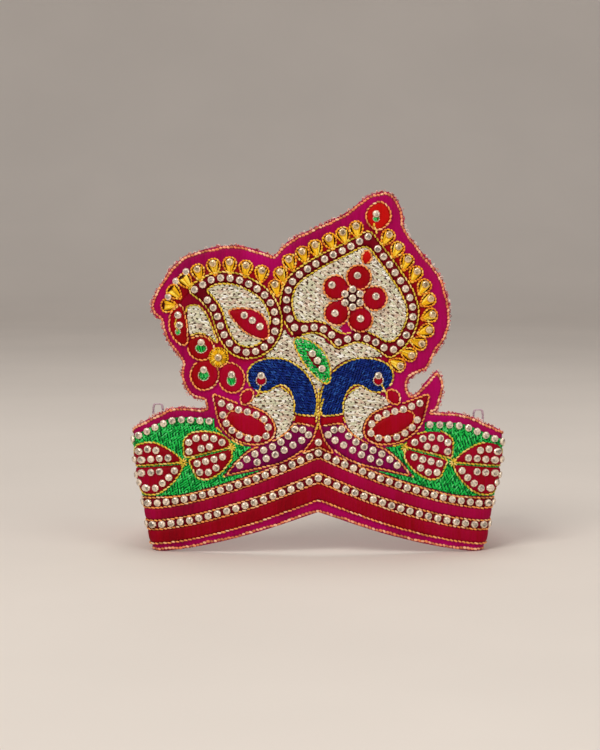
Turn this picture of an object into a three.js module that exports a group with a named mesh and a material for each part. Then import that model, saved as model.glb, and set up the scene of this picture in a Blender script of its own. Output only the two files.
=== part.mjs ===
// A mukut crown: one stiffened satin panel whose band folds back at both ends into side flaps, with a
// crest of two paisleys above a pair of peacocks. Satin stripes, embroidered fields and rows of cut
// stones lie on its front. Millimetres, +Z up. The front faces -Y and the crown stands on z = 0.
//
// Every outline is drawn on the cloth: s runs along the face from the centre line, to the right, and z
// is the height. Of a mirrored pair, "out" is the distance from the centre line on either half.
import * as THREE from "three";

// Plan of the band
const FRONT_RADIUS = 244;
const FRONT_HALF = 63.5; // along the face, from the centre line to the start of an end fold
const FOLD_RADIUS = 5;
const FLAP_HEADING = THREE.MathUtils.degToRad(100); // a flap's direction, from straight across
const FLAP_LENGTH = 58;
const FLARE = 0.00257; // growth of the plan for each millimetre of height
const FLARE_CENTRE_Y = -20; // the plan grows from this point in front, so the face leans back

// Thicknesses, measured out from the panel's front face
const PANEL_THICKNESS = 2.2;
const GROUND = { low: 0.3, high: 0.8 }; // pads sewn to the panel
const RAISED = { low: 1.1, high: 1.6 }; // pads sewn on top of those

// Stones
const STONE_RADIUS = 1.45;
const TABLE_RADIUS = 0.9;
const STONE_HEIGHT = 1;
const STONE_SIDES = 4;

// Lines of the band: height on the centre line and at the ends of the front
const LEVEL_REACH = 67;
const LEVEL_POWER = 1.45;
const LEVELS = {
  edge: { mid: 17, end: 0 },
  hem: { mid: 21.8, end: 3 },
  lowerRowFoot: { mid: 28.6, end: 8.7 },
  lowerRowHead: { mid: 32.4, end: 12.3 },
  upperRowFoot: { mid: 38.5, end: 17.4 },
  upperRowHead: { mid: 42.4, end: 21 },
};
const SEAM = 0.5; // cloth left beside a pad for its stitched cord
const STRIPE_SEAM = 0.2; // the same between a line of the band and a satin stripe
const ROW_SEAM = 0.1; // the same between a line of the band and a stone row
const ROW_PITCH = 3.8;

// Top edge of the band on each half, from the crest to the flap's back end, as [out, z]
const BAND_TOPS = {
  left: [[44.6, 57.2], [52, 57.5], [58.5, 57.2], [64, 55], [71, 51.5], [78, 48], [96, 44.2], [120, 42]],
  right: [[44.4, 55.8], [52, 55.6], [58.5, 54.8], [64, 52.6], [71, 49.6], [78, 47.2], [96, 44], [120, 42]],
};
const FLAP_TOP = 40.6;
const FLAP_CORNER = 4;
// The row of stones along the band's top on each half: its start, and how far it is below the edge
const TOP_ROWS = { left: { start: 41.4, drop: 4.5 }, right: { start: 42.5, drop: 4.6 } };
const TOP_ROW_HALF = 1.9;

// Where the stone rows and the green fields end, past the fold, along the foot of the flap
const ROW_PAST_FOLD = 4;
const FIELD_PAST_FOLD = 10;
const STRIPE_SHORT_OF_END = 3;

// Outline of the crest, a row for each smooth stretch between two corners, as [s, z]
const CREST = [
  [[47.4, 56.2], [49.4, 62.4], [50, 67.4], [47.6, 72.6]],
  [[47.6, 72.6], [43.2, 68], [37.4, 62], [35.2, 66.4], [37.4, 70.6], [43.2, 73.2]],
  [
    [43.2, 73.2], [46.2, 79], [51, 86], [52.4, 97], [48.8, 109.2], [40.8, 120], [34.4, 128.4],
    [33, 136.4], [28, 143], [20, 141.6], [12, 135.6], [0, 129.6], [-11, 124.4], [-17.6, 117.8],
  ],
  [[-17.6, 117.8], [-26, 120.8], [-36, 122], [-47, 120], [-57, 115], [-63.6, 106], [-67.2, 98],
    [-66, 94.4], [-62.8, 92.8]],
  [[-62.8, 92.8], [-62, 88], [-59.4, 82.6], [-54, 76]],
  [[-54, 76], [-54.8, 71.4], [-53.6, 66.2], [-50.6, 62.4], [-45.2, 61]],
  [[-45.2, 61], [-44.6, 57.4]],
];

// Stone paths of the two paisleys, by stretches as above
const RING_HALF = 2;
const LEFT_RING = [
  [[-49.2, 104.8], [-41.4, 109.1], [-33.6, 109.3], [-26.4, 106.6], [-20.2, 101.8], [-16.6, 93], [-18.6, 85],
    [-25, 80.2], [-33, 81.2], [-38, 88.4], [-40.8, 96.4], [-45.2, 102], [-49.2, 104.8]],
];
const RIGHT_RING = [
  [[19.6, 125.8], [12.8, 122], [-1.6, 114.8], [-10.4, 108], [-12.8, 100], [-11, 92.4], [-8.4, 88.6]],
  [[-8.4, 88.6], [-2.6, 90.2], [3.6, 88.6], [8, 84]],
  [[8, 84], [15.6, 86.4], [23.2, 83.8], [28.4, 80.2]],
  [[28.4, 80.2], [33.2, 84.4], [37.4, 93], [36.6, 101], [29.2, 113.2], [19.6, 125.8]],
];

// Rows of drops outside the paisleys: the line through the drops' middles, as [s, z]
const DROP_ROWS = [
  { node: "left_drop_row", drops: 8, length: 5.6,
    middles: [[-60.6, 98.2], [-57.6, 104.6], [-46.8, 112.9], [-35.1, 115.2], [-22.5, 111.9]] },
  { node: "middle_drop_row", drops: 7, length: 6,
    middles: [[-14.7, 111.6], [-11.9, 115.9], [-1.1, 122], [15.1, 129.5]] },
  { node: "right_drop_row", drops: 11, length: 6.4,
    middles: [[27.5, 126.2], [34.9, 116.5], [42, 106.5], [44.8, 95.3], [40.9, 84.1], [32.1, 75.1]] },
];
const DROP_FULLNESS = 0.42;
const DROP_WEB = 1.2; // cloth that joins the drops at their feet
const DROP_STONE = 0.6; // from a drop's middle to its stone

// Leaf shapes: base and tip, how far each side bulges (left and right of the way from base to tip),
// how full the sides are (1 is a pointed leaf, 0.5 an oval), where the widest place is, and the stones
const CREST_LEAVES = [
  { node: "tip_bud", on: GROUND, base: [23.2, 128.6], tip: [24.6, 140.6], left: 5, right: 4.6, full: 0.6,
    stones: [[22.8, 134.8]] },
  { node: "between_drop", on: GROUND, base: [-15.9, 100.6], tip: [-17.6, 110.2], left: 2.3, right: 2.3,
    full: 0.7, widest: 0.62, stones: [[-17.1, 107]] },
  { node: "left_paisley_leaf", on: RAISED, base: [-35.6, 96.4], tip: [-20, 85.6], left: 6.4, right: 2.8,
    full: 0.7, widest: 0.55, stones: [[-29.2, 94.8], [-26, 92.8], [-23, 90.4]] },
  { node: "paisley_seed", on: RAISED, base: [18.6, 115], tip: [19.5, 120.4], left: 1.9, right: 1.9,
    full: 0.7 },
  { node: "green_leaf", on: RAISED, base: [-8.8, 85.2], tip: [3.4, 68.4], left: 5, right: 2, full: 0.75,
    stones: [[-2.4, 79.8], [-0.4, 77], [1.4, 73.8]] },
  { node: "left_oval", on: GROUND, base: [-55.4, 98], tip: [-53.2, 83.4], left: 0.9, right: 4.4, full: 0.6,
    stones: [[-56, 94.6], [-55.4, 90.6]] },
  { node: "left_petal_upper", on: GROUND, base: [-42.3, 80.1], tip: [-51.3, 83.5], left: 4.2, right: 3.9,
    full: 0.5, stones: [[-46.6, 83.8]] },
  { node: "left_petal_lower", on: GROUND, base: [-43.6, 76.1], tip: [-47, 65.9], left: 5, right: 5, full: 0.5,
    stones: [[-45.6, 73]] },
  { node: "left_petal_inner", on: GROUND, base: [-36.4, 75], tip: [-32.8, 64.8], left: 4.6, right: 4.4,
    full: 0.5, stones: [[-34.4, 71.2]] },
  { node: "gold_centre", on: RAISED, base: [-39.2, 80.6], tip: [-39.2, 73.8], left: 3.4, right: 3.4,
    full: 0.5, stones: [[-39.6, 78]] },
];
const BAND_LEAVES = [
  { node: "inner_petal_upper", on: RAISED, base: [53.4, 37.9], tip: [34.2, 42.7], left: 0, right: 8.8,
    full: 0.42, widest: 0.32, ring: true },
  { node: "inner_petal_lower", on: RAISED, base: [51.6, 37], tip: [34.4, 41.7], left: 9, right: 0,
    full: 0.45, widest: 0.3, ring: true },
  { node: "outer_petal_upper", on: RAISED, base: [54.4, 36.2], tip: [77.4, 33.8], left: 8.8, right: 0,
    full: 0.55, widest: 0.6, ring: true },
  { node: "outer_petal_lower", on: RAISED, base: [54.2, 35.1], tip: [77.4, 32.8], left: 0, right: 11,
    full: 0.5, widest: 0.6, ring: true },
];
const BIRD_STRETCH = { left: 1, right: 1.05 }; // each bird's width, as a share of the shapes drawn below
const BIRD_LEAVES = [
  { node: "wing_leaf", on: RAISED, base: [34.6, 54.4], tip: [21.6, 49], left: 1.9, right: 1.5, full: 0.8 },
  { node: "beak", on: GROUND, base: [26.6, 65], tip: [30, 59.8], left: 1.9, right: 1.9, full: 0.8 },
  { node: "eye", on: RAISED, base: [22.4, 66.6], tip: [22.4, 73], left: 2.5, right: 2.5, full: 0.5,
    stones: [[22.6, 70.9]] },
];
const RING_INSET = 2.1; // from a petal's outline to the stones set round it
const RING_PITCH = 3.5;

// Freely drawn pads of one half, by stretches, as [out, z]
const BOAT = [
  [[36.4, 31.3], [30.8, 37.9], [25.2, 42], [19, 44.2], [13.2, 47.7], [9.6, 51.9]],
  [[9.6, 51.9], [5.2, 51.4], [1.6, 50.7]],
  [[1.6, 50.7], [3, 45.4], [8.2, 40.3], [15, 36.6], [26.4, 33.8], [36.4, 31.3]],
];
const BOAT_STONES = [
  { path: [[31.2, 35.3], [25.6, 39.6], [18.2, 42.8], [14.6, 44.8], [9.2, 49.8]], count: 8 },
  { path: [[6.2, 49.6], [3.9, 47.6]], count: 2 },
  { path: [[24.2, 36.6], [17, 39.7], [6.6, 45.4]], count: 6 },
];
const WING = [
  [[42, 63.4], [31.2, 59.4], [24.8, 57.8], [19.6, 54.8], [17.2, 49.6], [18.8, 45.6], [24, 43.8], [29.2, 44.2],
    [34.4, 46.6], [38.6, 51], [42, 63.4]],
];
const BODY = [
  [[27.2, 60.2], [22.4, 63.2], [18.8, 64.6], [15.6, 66]],
  [[15.6, 66], [12.6, 64], [10.4, 60.6], [10, 55.4], [11.2, 51.6], [13.6, 48.2], [16.6, 46.2]],
  [[16.6, 46.2], [16.2, 50.6], [18.6, 55.2], [24, 58.8], [27.2, 60.2]],
];
const COLLAR = [
  [[9.4, 54.9], [1.4, 53.9]],
  [[1.4, 53.9], [1.4, 51.3]],
  [[1.4, 51.3], [5, 52], [8.8, 52.4]],
  [[8.8, 52.4], [9.4, 54.9]],
];
// Neck and head of a peacock, from the collar up and over to the head, with the width across
const NECK = [
  { out: 5.4, z: 55.5, width: 8 },
  { out: 5, z: 59.6, width: 8.2 },
  { out: 6.2, z: 65.2, width: 8.6 },
  { out: 9.4, z: 69.9, width: 8.8 },
  { out: 14, z: 72.3, width: 8.6 },
  { out: 19, z: 72, width: 9.4 },
  { out: 22, z: 70.6, width: 12.2 },
];

// Freely drawn pads of the crest, as [s, z]
const CURL = [
  [[-52.4, 98], [-48.6, 98.6], [-46, 96.8], [-43.9, 93.4], [-42.2, 89.4], [-39.8, 83.4]],
  [[-39.8, 83.4], [-43, 86.2], [-46.6, 87.9], [-51.4, 86.4]],
  [[-51.4, 86.4], [-52.2, 92], [-52.4, 98]],
];
const CENTRE_FIELD = [
  [[-13.3, 89.6], [-11.6, 86.6], [-8.4, 86]],
  [[-8.4, 86], [-5.6, 87.2], [-2.4, 87.6], [2, 85.6], [5.2, 82.6], [8, 81]],
  [[8, 81], [11, 82.8], [15.4, 84], [19.2, 83.2], [23, 80.8], [25.6, 78.4]],
  [[25.6, 78.4], [20, 78.1], [14, 77.8], [9.4, 76.2], [5.2, 72.6], [2, 67.8], [0, 62.4]],
  [[0, 62.4], [-2, 67.8], [-5.2, 72.6], [-9.4, 76.2], [-14, 77.8], [-18, 78], [-22, 78.1]],
  [[-22, 78.1], [-18.6, 80.9], [-15.8, 84.6], [-13.3, 89.6]],
];
const POINT_APEX = 52.6; // the point piece on the centre line, its top and the reach of its foot
const POINT_FOOT = 6;
const POINT_STONE_Z = 44.6;

// Flower of the right paisley: petals by direction and distance from its centre, in degrees
const FLOWER_CENTRE = new THREE.Vector2(13.4, 101.6);
const PETAL_RADIUS = 4.4;
const FLOWER_PETALS = [
  { angle: 66, reach: 8.3 },
  { angle: -2, reach: 9.6 },
  { angle: -66, reach: 8.9 },
  { angle: -134, reach: 8.9 },
  { angle: 148, reach: 7.8 },
];
const FLOWER_STEPS = 40;
const CLUSTER_RADIUS = 3.5;
const CLUSTER_STONES = 6;

// Thread loops sewn behind the band's top edge
const LOOP = { out: 65.6, width: 4.6, rise: 6.6, sewn: 3, thread: 0.7 };

// Fineness of the solids
const FRONT_BENDS = 3; // on each half of the front
const FOLD_BENDS = 3;
const SPLINE_STEP = 4;
const FINE_STEP = 0.4; // where other lines are measured from the curve
const LEVEL_STEP = 12;
const LEAF_STEPS = 6;
const CLEAR_OF_BEND = 0.08;
const SHARP = 0.6; // a turn in radians that is rounded when an outline is moved outwards

const foldStartHeading = FRONT_HALF / FRONT_RADIUS;
const FOLD_END = FRONT_HALF + FOLD_RADIUS * (FLAP_HEADING - foldStartHeading);
const FLAP_END = FOLD_END + FLAP_LENGTH;

const grow = (z) => 1 + FLARE * z;
const point = (s, z) => new THREE.Vector2(s, z);
const atFoot = (u, z) => point(u * grow(z), z); // a place given by its distance u along the foot line

// The plan curve at the foot: front arc, fold arc, straight flap.
function planCurve(u) {
  const side = u < 0 ? -1 : 1;
  const along = Math.abs(u);
  const onFront = Math.min(along, FRONT_HALF);
  const onFold = Math.max(0, Math.min(along, FOLD_END) - FRONT_HALF);
  const onFlap = Math.max(0, along - FOLD_END);
  const front = onFront / FRONT_RADIUS;
  const heading = front + onFold / FOLD_RADIUS;
  const x = FRONT_RADIUS * Math.sin(front) + FOLD_RADIUS * (Math.sin(heading) - Math.sin(front));
  const y = FRONT_RADIUS * (1 - Math.cos(front)) + FOLD_RADIUS * (Math.cos(front) - Math.cos(heading));
  return point(side * (x + onFlap * Math.cos(heading)), y + onFlap * Math.sin(heading));
}

// Lines of constant u where the solids bend, so that every pad follows the panel below it.
function bendLines() {
  const lines = [];
  for (let i = 0; i < FRONT_BENDS; i++) lines.push((FRONT_HALF * (2 * i + 1)) / (2 * FRONT_BENDS));
  for (let i = 0; i <= FOLD_BENDS; i++) {
    lines.push(FRONT_HALF + ((FOLD_END - FRONT_HALF) * i) / FOLD_BENDS);
  }
  return lines.flatMap((u) => [u, -u]).sort((a, b) => a - b);
}
const BENDS = bendLines();

// The plan as the solids have it: straight between the bend lines, each corner with the direction that
// moves both of its sides out by the same distance.
const CORNERS = [-FLAP_END - 1, ...BENDS, FLAP_END + 1].map((u) => ({ u, at: planCurve(u) }));
CORNERS.forEach((corner, i) => {
  const side = (k) => {
    const way = CORNERS[k + 1].at.clone().sub(CORNERS[k].at).normalize();
    return point(way.y, -way.x);
  };
  const before = side(Math.max(i - 1, 0));
  const after = side(Math.min(i, CORNERS.length - 2));
  corner.out = before.clone().add(after).divideScalar(1 + before.dot(after));
});

// A place on the cloth in space: u along the foot line, height z, and h out from the front face.
function onCloth(u, z, h) {
  const next = CORNERS.findIndex((corner, i) => i > 0 && (corner.u >= u || i === CORNERS.length - 1));
  const [a, b] = [CORNERS[next - 1], CORNERS[next]];
  const share = (u - a.u) / (b.u - a.u);
  const foot = a.at.clone().lerp(b.at, share);
  const out = a.out.clone().lerp(b.out, share);
  const g = grow(z);
  return new THREE.Vector3(
    g * foot.x + h * out.x,
    FLARE_CENTRE_Y + g * (foot.y - FLARE_CENTRE_Y) + h * out.y,
    z,
  );
}

const level = (name, s) => {
  const { mid, end } = LEVELS[name];
  return end + (mid - end) * Math.max(0, 1 - Math.abs(s) / LEVEL_REACH) ** LEVEL_POWER;
};

// Points along a smooth curve through knots, both ends included.
function smooth(knots, step = SPLINE_STEP) {
  const curve = new THREE.CatmullRomCurve3(
    knots.map(([s, z]) => new THREE.Vector3(s, z, 0)),
    false,
    "centripetal",
  );
  const steps = Math.max(knots.length - 1, Math.round(curve.getLength() / step));
  return curve.getSpacedPoints(steps).map((p) => point(p.x, p.y));
}

// A closed outline from stretches that meet at corners.
function outlineOf(stretches, step = SPLINE_STEP) {
  return stretches.flatMap((knots) => smooth(knots, step).slice(0, -1));
}

const mirrored = (side, stretch = 1) => (p) => point(side * stretch * p.x, p.y);
const halfOutline = (stretches, side, stretch = 1) => outlineOf(stretches).map(mirrored(side, stretch));

// A leaf: the straight way from base to tip, widened on each side by a power of a sine.
function leafOutline({ base, tip, left, right, full, widest = 0.5 }) {
  const from = point(...base);
  const way = point(...tip).sub(from);
  const across = point(-way.y, way.x).normalize();
  const skew = Math.log(0.5) / Math.log(widest);
  const place = (t, bulge) => {
    const width = bulge * Math.sin(Math.PI * t ** skew) ** full;
    return from.clone().addScaledVector(way, t).addScaledVector(across, width);
  };
  const share = (i) => (1 - Math.cos((Math.PI * i) / LEAF_STEPS)) / 2;
  const outline = [];
  for (let i = 0; i < LEAF_STEPS; i++) outline.push(place(share(i), -right));
  for (let i = LEAF_STEPS; i > 0; i--) outline.push(place(share(i), left));
  return outline;
}

function distanceTo(loop, p) {
  const nearest = new THREE.Vector3();
  const here = new THREE.Vector3(p.x, p.y, 0);
  const edge = new THREE.Line3();
  let least = Infinity;
  loop.forEach((a, i) => {
    const b = loop[(i + 1) % loop.length];
    edge.start.set(a.x, a.y, 0);
    edge.end.set(b.x, b.y, 0);
    edge.closestPointToPoint(here, true, nearest);
    least = Math.min(least, nearest.distanceTo(here));
  });
  return least;
}

const isCounterClockwise = (loop) => !THREE.ShapeUtils.isClockWise(loop);
const counterClockwise = (loop) => (isCounterClockwise(loop) ? loop : [...loop].reverse());

// A closed outline moved outwards by some distance, or inwards if it is negative. Sharp corners are
// rounded, and points that come too near the outline again are left out.
function offset(loop, distance) {
  const line = counterClockwise(loop);
  const heading = (i) => {
    const from = line[(i + line.length) % line.length];
    const to = line[(i + 1) % line.length];
    return Math.atan2(to.y - from.y, to.x - from.x);
  };
  const moved = line.flatMap((p, i) => {
    const before = heading(i - 1);
    const turn = Math.atan2(Math.sin(heading(i) - before), Math.cos(heading(i) - before));
    const shares = turn * distance > SHARP * Math.abs(distance) ? [0, 0.25, 0.5, 0.75, 1] : [0.5];
    return shares.map((share) => {
      const angle = before + share * turn - Math.PI / 2;
      return point(p.x + distance * Math.cos(angle), p.y + distance * Math.sin(angle));
    });
  });
  return moved.filter((p) => distanceTo(line, p) > Math.abs(distance) * 0.97);
}

// Places spread evenly along a line of points: count of them, at both ends of an open line.
function spread(line, count, closed) {
  const path = new THREE.Path();
  path.setFromPoints(closed ? [...line, line[0]] : line);
  const places = path.getSpacedPoints(closed ? count : count - 1);
  return closed ? places.slice(0, count) : places;
}

// Stones set along a closed line as near to one another as the pitch allows, the first at its start.
function setRound(line, pitch) {
  const steps = Math.round(new THREE.Path().setFromPoints([...line, line[0]]).getLength() * 8);
  const set = [];
  spread(line, steps, true).forEach((p) => {
    if (set.every((q) => q.distanceTo(p) >= pitch)) set.push(p);
  });
  return set;
}

// The edges of an outline as [u, z], kept clear of the bend lines: each with its first point, and one
// more wherever it crosses a bend line.
function bentEdges(loop) {
  const flat = loop.map((p) => {
    const u = p.x / grow(p.y);
    const near = BENDS.find((line) => Math.abs(line - u) < CLEAR_OF_BEND);
    if (near === undefined) return point(u, p.y);
    return point(near + (u < near ? -CLEAR_OF_BEND : CLEAR_OF_BEND), p.y);
  });
  return flat.map((p, i) => {
    const q = flat[(i + 1) % flat.length];
    const crossed = BENDS.filter((line) => (line - p.x) * (line - q.x) < 0);
    if (q.x < p.x) crossed.reverse();
    return [p, ...crossed.map((line) => point(line, p.y + ((q.y - p.y) * (line - p.x)) / (q.x - p.x)))];
  });
}
const bentLoop = (loop) => bentEdges(counterClockwise(loop)).flat();

const doubleArea = ([a, b, c]) => (b.x - a.x) * (c.y - a.y) - (c.x - a.x) * (b.y - a.y);

// Triangles of a face with holes, turned counter-clockwise.
function faceTriangles(loop, holes) {
  const points = [loop, ...holes].flat();
  return THREE.ShapeUtils.triangulateShape(loop, holes)
    .map((corners) => corners.map((i) => points[i]))
    .map((t) => (doubleArea(t) < 0 ? [t[0], t[2], t[1]] : t));
}

// The stretches of a closed outline that lie between two bend lines.
function stretchesBetween(loop, from, to) {
  const inside = loop.map((p, i) => {
    const middle = (p.x + loop[(i + 1) % loop.length].x) / 2;
    return middle > from && middle < to;
  });
  if (inside.every((is) => is)) return { whole: [loop], parts: [] };
  const parts = [];
  loop.forEach((_, i) => {
    if (!inside[i] || inside[(i + loop.length - 1) % loop.length]) return;
    const part = [loop[i]];
    for (let k = i; inside[k % loop.length]; k++) part.push(loop[(k + 1) % loop.length]);
    parts.push(part);
  });
  return { whole: [], parts };
}

// Stretches joined along the bend lines: up the line after leaving to the right, down it to the left.
function joined(parts, to) {
  const left = new Set(parts);
  const loops = [];
  while (left.size) {
    const first = left.values().next().value;
    const loop = [];
    let part = first;
    do {
      left.delete(part);
      loop.push(...part);
      const end = part[part.length - 1];
      const sign = end.x === to ? 1 : -1;
      const ahead = (p) => sign * (p[0].y - end.y);
      part = parts
        .filter((p) => p[0].x === end.x && ahead(p) > 0)
        .reduce((best, p) => (ahead(p) < ahead(best) ? p : best));
    } while (part !== first);
    loops.push(loop);
  }
  return loops;
}

// Triangles of a face made of strips between the bend lines.
function bentTriangles(loops) {
  const lines = [-Infinity, ...BENDS, Infinity];
  return lines.slice(1).flatMap((to, i) => {
    const found = loops.map((loop) => stretchesBetween(loop, lines[i], to));
    const whole = found.flatMap((f) => f.whole);
    const holes = whole.filter((loop) => !isCounterClockwise(loop));
    const faces = [...joined(found.flatMap((f) => f.parts), to), ...whole.filter(isCounterClockwise)];
    return faces.flatMap((face) => faceTriangles(face, holes));
  });
}

// Corners of a stone's girdle or table, as [s, z].
function stoneRing(centre, radius, turn) {
  return Array.from({ length: STONE_SIDES }, (_, i) => {
    const angle = ((i + turn) * 2 * Math.PI) / STONE_SIDES;
    return point(centre.x + radius * Math.cos(angle), centre.y + radius * Math.sin(angle));
  });
}

// A closed pad on the cloth from height low to height high, with windows through it and with cut stones
// that are one body with it: a square table, turned by half a side, and eight facets each.
function padGeometry({ outline, windows = [], stones = [], low, high }) {
  const corners = [];
  const put = (...places) => places.forEach(([p, h]) => corners.push(onCloth(p.x, p.y, h)));
  const rims = [bentLoop(outline), ...windows.map((w) => bentLoop(w).reverse())];
  const girdles = stones.map((centre) => bentEdges(stoneRing(centre, STONE_RADIUS, 0)));

  bentTriangles(rims).forEach(([a, b, c]) => put([a, low], [c, low], [b, low]));
  const holes = girdles.map((girdle) => girdle.flat().reverse());
  bentTriangles([...rims, ...holes]).forEach((t) => put(...t.map((p) => [p, high])));
  rims.forEach((rim) =>
    rim.forEach((p, i) => {
      const q = rim[(i + 1) % rim.length];
      put([p, low], [q, low], [q, high], [p, low], [q, high], [p, high]);
    }),
  );

  stones.forEach((centre, n) => {
    const top = high + STONE_HEIGHT;
    const table = stoneRing(centre, TABLE_RADIUS, 0.5).map((p) => point(p.x / grow(p.y), p.y));
    girdles[n].forEach((side, i) => {
      const next = (i + 1) % STONE_SIDES;
      const girdle = [...side, girdles[n][next][0]];
      for (let k = 0; k + 1 < girdle.length; k++) {
        put([girdle[k], high], [girdle[k + 1], high], [table[i], top]);
      }
      put([girdle[girdle.length - 1], high], [table[next], top], [table[i], top]);
    });
    for (let i = 1; i + 1 < STONE_SIDES; i++) put([table[0], top], [table[i], top], [table[i + 1], top]);
  });
  return new THREE.BufferGeometry().setFromPoints(corners);
}

const finish = (color, roughness, metalness = 0) =>
  new THREE.MeshStandardMaterial({ color, roughness, metalness });
const MATERIALS = {
  magentaSatin: () => finish(0x9c0f58, 0.45),
  crimsonSatin: () => finish(0x8e0a1c, 0.45),
  redSatin: () => finish(0xa50b1c, 0.5),
  purpleSatin: () => finish(0x720b45, 0.45),
  greenThread: () => finish(0x16924a, 0.7),
  creamThread: () => finish(0xcfc6a4, 0.55, 0.2),
  blueThread: () => finish(0x0b1c6e, 0.6),
  goldThread: () => finish(0xd6a326, 0.4, 0.4),
  stoneGround: () => finish(0x5a0a1c, 0.6),
  tieThread: () => finish(0xb9b2b4, 0.6),
};

function pad(name, material, shape) {
  const mesh = new THREE.Mesh(padGeometry(shape), MATERIALS[material]());
  mesh.name = name;
  return mesh;
}

// The panel

// Height of the band's top edge on one half, at a distance out from the centre line.
function bandTopAt(label, out) {
  const curve = smooth(BAND_TOPS[label]);
  const i = curve.findIndex((p) => p.x >= out);
  if (i <= 0) return curve[0].y;
  const share = (out - curve[i - 1].x) / (curve[i].x - curve[i - 1].x);
  return THREE.MathUtils.lerp(curve[i - 1].y, curve[i].y, share);
}

// Distances from the centre line, out to the same reach on both halves.
function levelPlaces(reach) {
  const steps = Math.ceil(reach / LEVEL_STEP);
  return Array.from({ length: 2 * steps + 1 }, (_, i) => (reach * (i - steps)) / steps);
}

// One half of the panel's band, from the crest to the foot of the flap's back end.
function flapEdge(side, label) {
  const corner = new THREE.Path();
  corner.moveTo(FLAP_END - FLAP_CORNER, FLAP_TOP);
  corner.quadraticCurveTo(FLAP_END, FLAP_TOP, FLAP_END, FLAP_TOP - FLAP_CORNER);
  const round = corner.getPoints(3).map((p) => atFoot(p.x, p.y));
  return [...smooth(BAND_TOPS[label]), ...round, atFoot(FLAP_END, 0)].map(mirrored(side));
}

function crownPanel() {
  const foot = levelPlaces(LEVEL_REACH).map((s) => point(s, level("edge", s)));
  const [left, right] = [flapEdge(-1, "left"), flapEdge(1, "right")];
  const outline = [...foot, ...right.reverse(), ...outlineOf(CREST), ...left];
  return pad("crown_panel", "magentaSatin", { outline, low: -PANEL_THICKNESS, high: 0 });
}

// The band

// A strip between two lines of the band, out to the same distance u along the foot on both halves.
function bandStrip(lowName, highName, reach, seam) {
  const edge = (name, gap) => {
    const at = (s) => point(s, level(name, s) + gap);
    const ends = [-1, 1].map((side) => atFoot(side * reach, LEVELS[name].end + gap));
    return [ends[0], ...levelPlaces(LEVEL_REACH).map(at), ends[1]];
  };
  return [...edge(lowName, seam), ...edge(highName, -seam).reverse()];
}

function stoneRow(name, lowName, highName) {
  const reach = FOLD_END + ROW_PAST_FOLD;
  const middle = (s) => point(s, (level(lowName, s) + level(highName, s)) / 2);
  const last = (reach - STONE_RADIUS - SEAM) * grow(LEVELS[lowName].end);
  const line = levelPlaces(last).map(middle);
  const count = 2 * Math.round(new THREE.Path().setFromPoints(line).getLength() / ROW_PITCH / 2) + 1;
  const outline = bandStrip(lowName, highName, reach, ROW_SEAM);
  return pad(name, "stoneGround", { outline, stones: spread(line, count), ...GROUND });
}

function satinStripe(name, lowName, highName) {
  const outline = bandStrip(lowName, highName, FLAP_END - STRIPE_SHORT_OF_END, STRIPE_SEAM);
  return pad(name, "crimsonSatin", { outline, ...GROUND });
}

// The line of the stones along the band's top, and lines beside it.
function topLine(label, drop, start, end) {
  const places = [];
  for (let out = start; out < end; out += SPLINE_STEP) places.push(out);
  return [...places, end].map((out) => point(out, bandTopAt(label, out) - drop));
}

function topRow(side, label) {
  const { start, drop } = TOP_ROWS[label];
  const end = (FOLD_END + ROW_PAST_FOLD) * grow(bandTopAt(label, FOLD_END));
  const above = topLine(label, drop - TOP_ROW_HALF, start, end);
  const below = topLine(label, drop + TOP_ROW_HALF, start, end);
  const margin = STONE_RADIUS + SEAM;
  const middle = topLine(label, drop, start + margin, end - margin);
  const count = Math.round(new THREE.Path().setFromPoints(middle).getLength() / ROW_PITCH) + 1;
  return pad(`top_stone_row_${label}`, "stoneGround", {
    outline: [...below, ...above.reverse()].map(mirrored(side)),
    stones: spread(middle, count).map(mirrored(side)),
    ...GROUND,
  });
}

function greenField(side, label) {
  const reach = FOLD_END + FIELD_PAST_FOLD;
  const sliverTip = 21.5; // between the boat and the upper stone row
  const { start, drop: rowDrop } = TOP_ROWS[label];
  const drop = rowDrop + TOP_ROW_HALF + SEAM;
  const stretch = BIRD_STRETCH[label];
  const foot = [];
  for (let s = sliverTip; s < LEVEL_REACH; s += LEVEL_STEP) {
    foot.push(point(s, level("upperRowHead", s) + SEAM));
  }
  foot.push(atFoot(reach, LEVELS.upperRowHead.end + SEAM));
  const head = topLine(label, drop, start, reach * grow(bandTopAt(label, reach) - drop)).reverse();
  const besideWing = smooth([
    [start, bandTopAt(label, start) - drop],
    [stretch * 39.6, Math.min(49, bandTopAt(label, start) - drop)],
    [stretch * 34.8, 45.2],
    [stretch * 29.6, 42.9],
    [26.6, 42.6],
  ]);
  const besideBoat = smooth([[26.6, 42.6], [29, 40.6], [33.4, 36.4], [38.4, 30.2]]);
  const sliver = smooth([[38.4, 30.2], [31, 31.8], [sliverTip, 33.6]]);
  const edge = [...besideWing.slice(1), ...besideBoat.slice(1), ...sliver.slice(1, -1)];
  const outline = [...foot, ...head, ...edge].map(mirrored(side));
  return pad(`green_field_${label}`, "greenThread", { outline, ...GROUND });
}

function pointPiece() {
  const foot = [-1, -0.5, 0, 0.5, 1].map((share) => {
    const s = share * POINT_FOOT;
    return point(s, level("upperRowHead", s) + SEAM);
  });
  const flank = smooth([[POINT_FOOT, foot[4].y], [1.9, 46], [0, POINT_APEX]]).slice(1);
  const outline = [...foot, ...flank, ...flank.slice(0, -1).reverse().map(mirrored(-1))];
  return pad("centre_point", "crimsonSatin", { outline, stones: [point(0, POINT_STONE_Z)], ...GROUND });
}

function boat(side, label) {
  const stones = BOAT_STONES.flatMap(({ path, count }) => spread(smooth(path), count));
  const outline = halfOutline(BOAT, side);
  return pad(`boat_${label}`, "purpleSatin", { outline, stones: stones.map(mirrored(side)), ...GROUND });
}

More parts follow.
